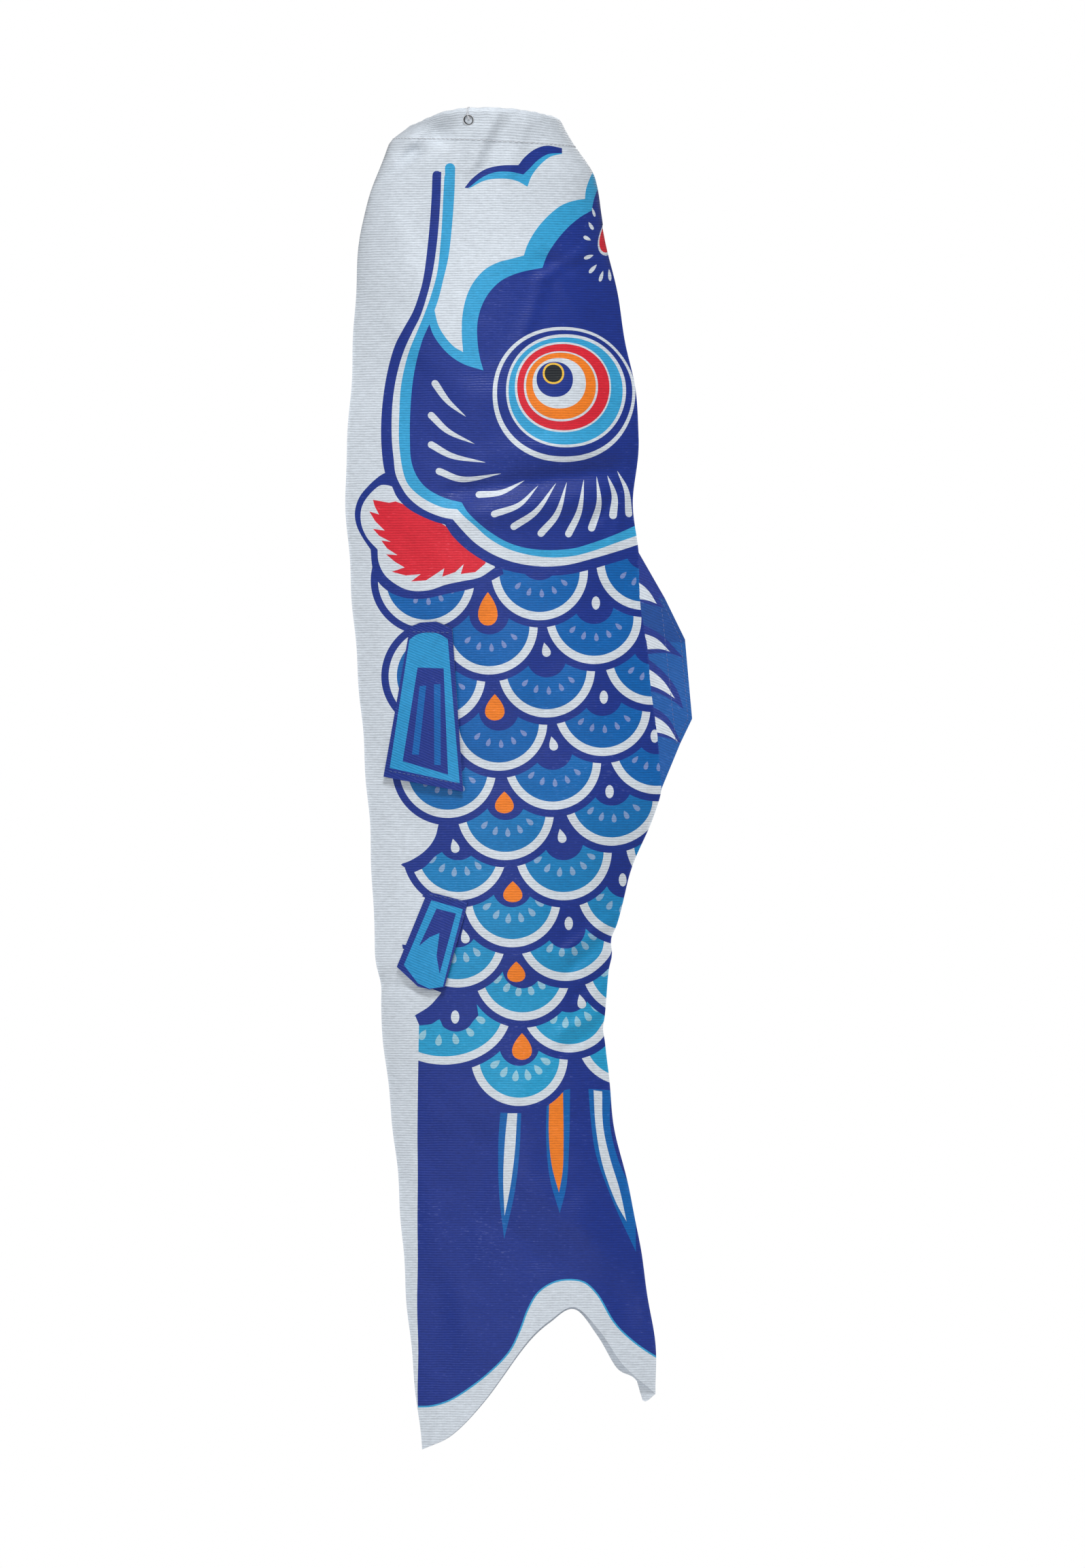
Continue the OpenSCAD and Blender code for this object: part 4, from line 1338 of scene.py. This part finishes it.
PECTORAL = [(-39.5, 270.2), (-34.1, 268.0), (-26.0, 267.5), (-17.5, 270.7), (-11.7, 356.2), (-53.4, 348.4)]
PELVIC = [
    (-30.3, 408.3), (-9.4, 413.7), (-10.9, 420.2), (-21.5, 458.3), (-29.3, 459.4), (-35.4, 457.9),
    (-46.4, 447.7),
]
for side, word in ((-1, "left"), (1, "right")):
    for kind, outline, corners, shapes, length, lift in (
        ("pectoral", PECTORAL, [PECTORAL[i] for i in (0, 3, -2, -1)], pectoral_print, 84, 2.6),
        ("pelvic", PELVIC, [PELVIC[i] for i in (0, 1, 2, -1)], pelvic_print, 49, 1.8),
    ):
        cut = cut_print(outline_of(outline), NAVY, shapes(), FIN_SPACING)
        place = flap_place(top_edge(corners[:2]), length, side, lift)
        facing = normals_by_steps(place, side)
        fin = sewn_sheet(
            f"{word}_{kind}_flap", cut, place, facing, side, FIN_THICKNESS, [fin_cloth], reverse=0.0,
        )
        if kind == "pectoral":
            hang(fin)
        else:
            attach(fin, f"{word}_{kind}_fin")
        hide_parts(f"{word}_{kind}_fin")
        top_left, top_right, low_right, low_left = np.array(corners)
        for number, share in enumerate((0.035,) if kind == "pelvic" else (0.03, 0.955)):
            a = top_left + (low_left - top_left) * share
            b = top_right + (low_right - top_right) * share
            line = a + (b - a) * np.linspace(0.04, 0.96, 60)[:, None]
            spots = place(line[:, 0], line[:, 1])
            outs = facing(line[:, 0], line[:, 1])
            sewn = stitches(f"{word}_{kind}_stitches_{number + 1}", spots, outs, navy_thread, **FIN_STITCH)
            if kind == "pectoral" and number == 0:
                hang(sewn)
            else:
                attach(sewn, f"{word}_{kind}_fin")

DORSAL = [(78.0, 227.8), (93.6, 255.0), (104.2, 276.7), (107.9, 318.1), (101.7, 331.0), (89.8, 359.8)]


def dorsal_outline():
    """The fin's free edge, and a base tucked between the sleeve's two sides."""
    free = outline_of(DORSAL + [DORSAL[-1]])[:-1]
    drops = np.linspace(DORSAL[-1][1] - 2, DORSAL[0][1] + 2, 60)
    base = np.stack([np.minimum(back(drops) - 1.0, 200), drops], axis=-1)
    keep = free[:, 0] > back(free[:, 1]) - 1.0
    return np.vstack([free[keep], base])


dorsal_cut = cut_print(dorsal_outline(), FIN_BLUE, dorsal_print(), FIN_SPACING)


def dorsal_place(x, d):
    """The dorsal fin's surface, a little waved toward its free edge."""
    out = np.clip((x - back(d)) / 25, 0, 1)
    y = 0.25 + (1.1 * np.sin(d / 16.0) + 0.6 * np.sin(d / 7.0 + 1)) * out * 0.8
    return np.stack([x, -y, -d], axis=-1) * MM


dorsal = sewn_sheet(
    "dorsal_fin_plies", dorsal_cut, dorsal_place, normals_by_steps(dorsal_place, -1), -1, FIN_THICKNESS,
    [fin_cloth], reverse=0.0,
)
fold = next(joint for joint in frame["joints"] if joint["name"] == "dorsal_fin_fold")
fold_line = Vector(fold["pos_m"])
away = Vector((0, 1, 0)).cross(Vector(fold["axis"])).normalized()
away *= math.copysign(1.0, away.x)
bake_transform(dorsal)
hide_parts("dorsal_fin")
free_edge = outline_of(DORSAL[1:-1] + [DORSAL[-2]])[:-1]
inner_edge = free_edge - np.array([2.2, 0])
spots = dorsal_place(inner_edge[:, 0], inner_edge[:, 1])
outs = np.tile([0.0, -1.0, 0.0], (len(spots), 1))
dorsal_stitches = stitches("dorsal_fin_stitches", spots, outs, navy_thread, **DORSAL_STITCH)
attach(dorsal_stitches, "dorsal_fin")

# ---------------------------------------------------------------- fin pieces and their stitches, looked up

for side, word in ((-1, "left"), (1, "right")):
    fore, rear = panels[side]
    for kind, flat, area in (("pectoral", (0.043, 0.086), 0.0027), ("pelvic", (0.028, 0.052), 0.00116)):
        fin = bpy.data.objects[f"{word}_{kind}_flap"]
        sewn = [o.name for o in bpy.data.objects if o.name.startswith(f"{word}_{kind}_stitches")]

# ---------------------------------------------------------------- camera, light and floor

VIEW_X, VIEW_Z = 0.0297, -0.3522
VIEW_HEIGHT = 0.8186
VIEW_AWAY = 10.0

camera_data = bpy.data.cameras.new("view")
camera_data.sensor_fit = "VERTICAL"
camera_data.sensor_height = 36
camera_data.lens = 36 * (VIEW_AWAY - 0.01) / VIEW_HEIGHT
camera_data.clip_end = 60
camera = bpy.data.objects.new("view", camera_data)
camera.location = (VIEW_X, -VIEW_AWAY, VIEW_Z)
camera.rotation_euler = (math.pi / 2, 0, 0)
bpy.context.scene.collection.objects.link(camera)
bpy.context.scene.camera = camera


def soft_light(name, place, size, power):
    """A white soft box that points at the streamer's middle."""
    data = bpy.data.lights.new(name, "AREA")
    data.shape = "RECTANGLE"
    data.size, data.size_y = size
    data.energy = power
    lamp = bpy.data.objects.new(name, data)
    lamp.location = place
    aim = Vector((0.02, 0, -0.33)) - Vector(place)
    lamp.rotation_euler = aim.to_track_quat("-Z", "Y").to_euler()
    bpy.context.scene.collection.objects.link(lamp)


soft_light("key", (0.15, -1.55, 1.75), (0.5, 0.5), 43)
soft_light("fill", (-1.6, -2.6, 0.2), (1.0, 1.2), 14)
soft_light("low", (0.1, -2.6, -1.3), (0.8, 0.8), 10)
soft_light("rear", (0.5, 2.6, 0.9), (1.4, 1.4), 14)

world = bpy.data.worlds.new("studio")
world.use_nodes = True
sky = world.node_tree
background = sky.nodes["Background"]
background.inputs["Color"].default_value = (1, 1, 1, 1)
background.inputs["Strength"].default_value = 0.25
seen = sky.nodes.new("ShaderNodeBackground")
seen.inputs["Color"].default_value = (1, 1, 1, 1)
seen.inputs["Strength"].default_value = 1.0
path = sky.nodes.new("ShaderNodeLightPath")
choose = sky.nodes.new("ShaderNodeMixShader")
sky.links.new(path.outputs["Is Camera Ray"], choose.inputs[0])
sky.links.new(background.outputs[0], choose.inputs[1])
sky.links.new(seen.outputs[0], choose.inputs[2])
sky.links.new(choose.outputs[0], sky.nodes["World Output"].inputs["Surface"])
bpy.context.scene.world = world
bpy.context.scene.view_settings.view_transform = "Standard"

FLOOR_RADIUS = 1.7
FLOOR_Z = -1.6
FLOOR_RINGS, FLOOR_SPOKES = 6, 96
floor_look = Look(
    "pale_floor", Base_Color=(0.8, 0.8, 0.8, 1), Roughness=0.9, Emission_Color=(1, 1, 1, 1),
    Emission_Strength=0.15,
)
floor_points = []
for r in range(1, FLOOR_RINGS + 1):
    radius = FLOOR_RADIUS * (r / FLOOR_RINGS) ** 2
    for a in np.arange(FLOOR_SPOKES) * 2 * math.pi / FLOOR_SPOKES:
        floor_points.append((radius * math.cos(a), radius * math.sin(a), FLOOR_Z))
floor_faces = grid_faces(FLOOR_RINGS, FLOOR_SPOKES, False, True) + [tuple(range(FLOOR_SPOKES))]
floor = mesh_object("floor", floor_points, floor_faces, floor_look.material)
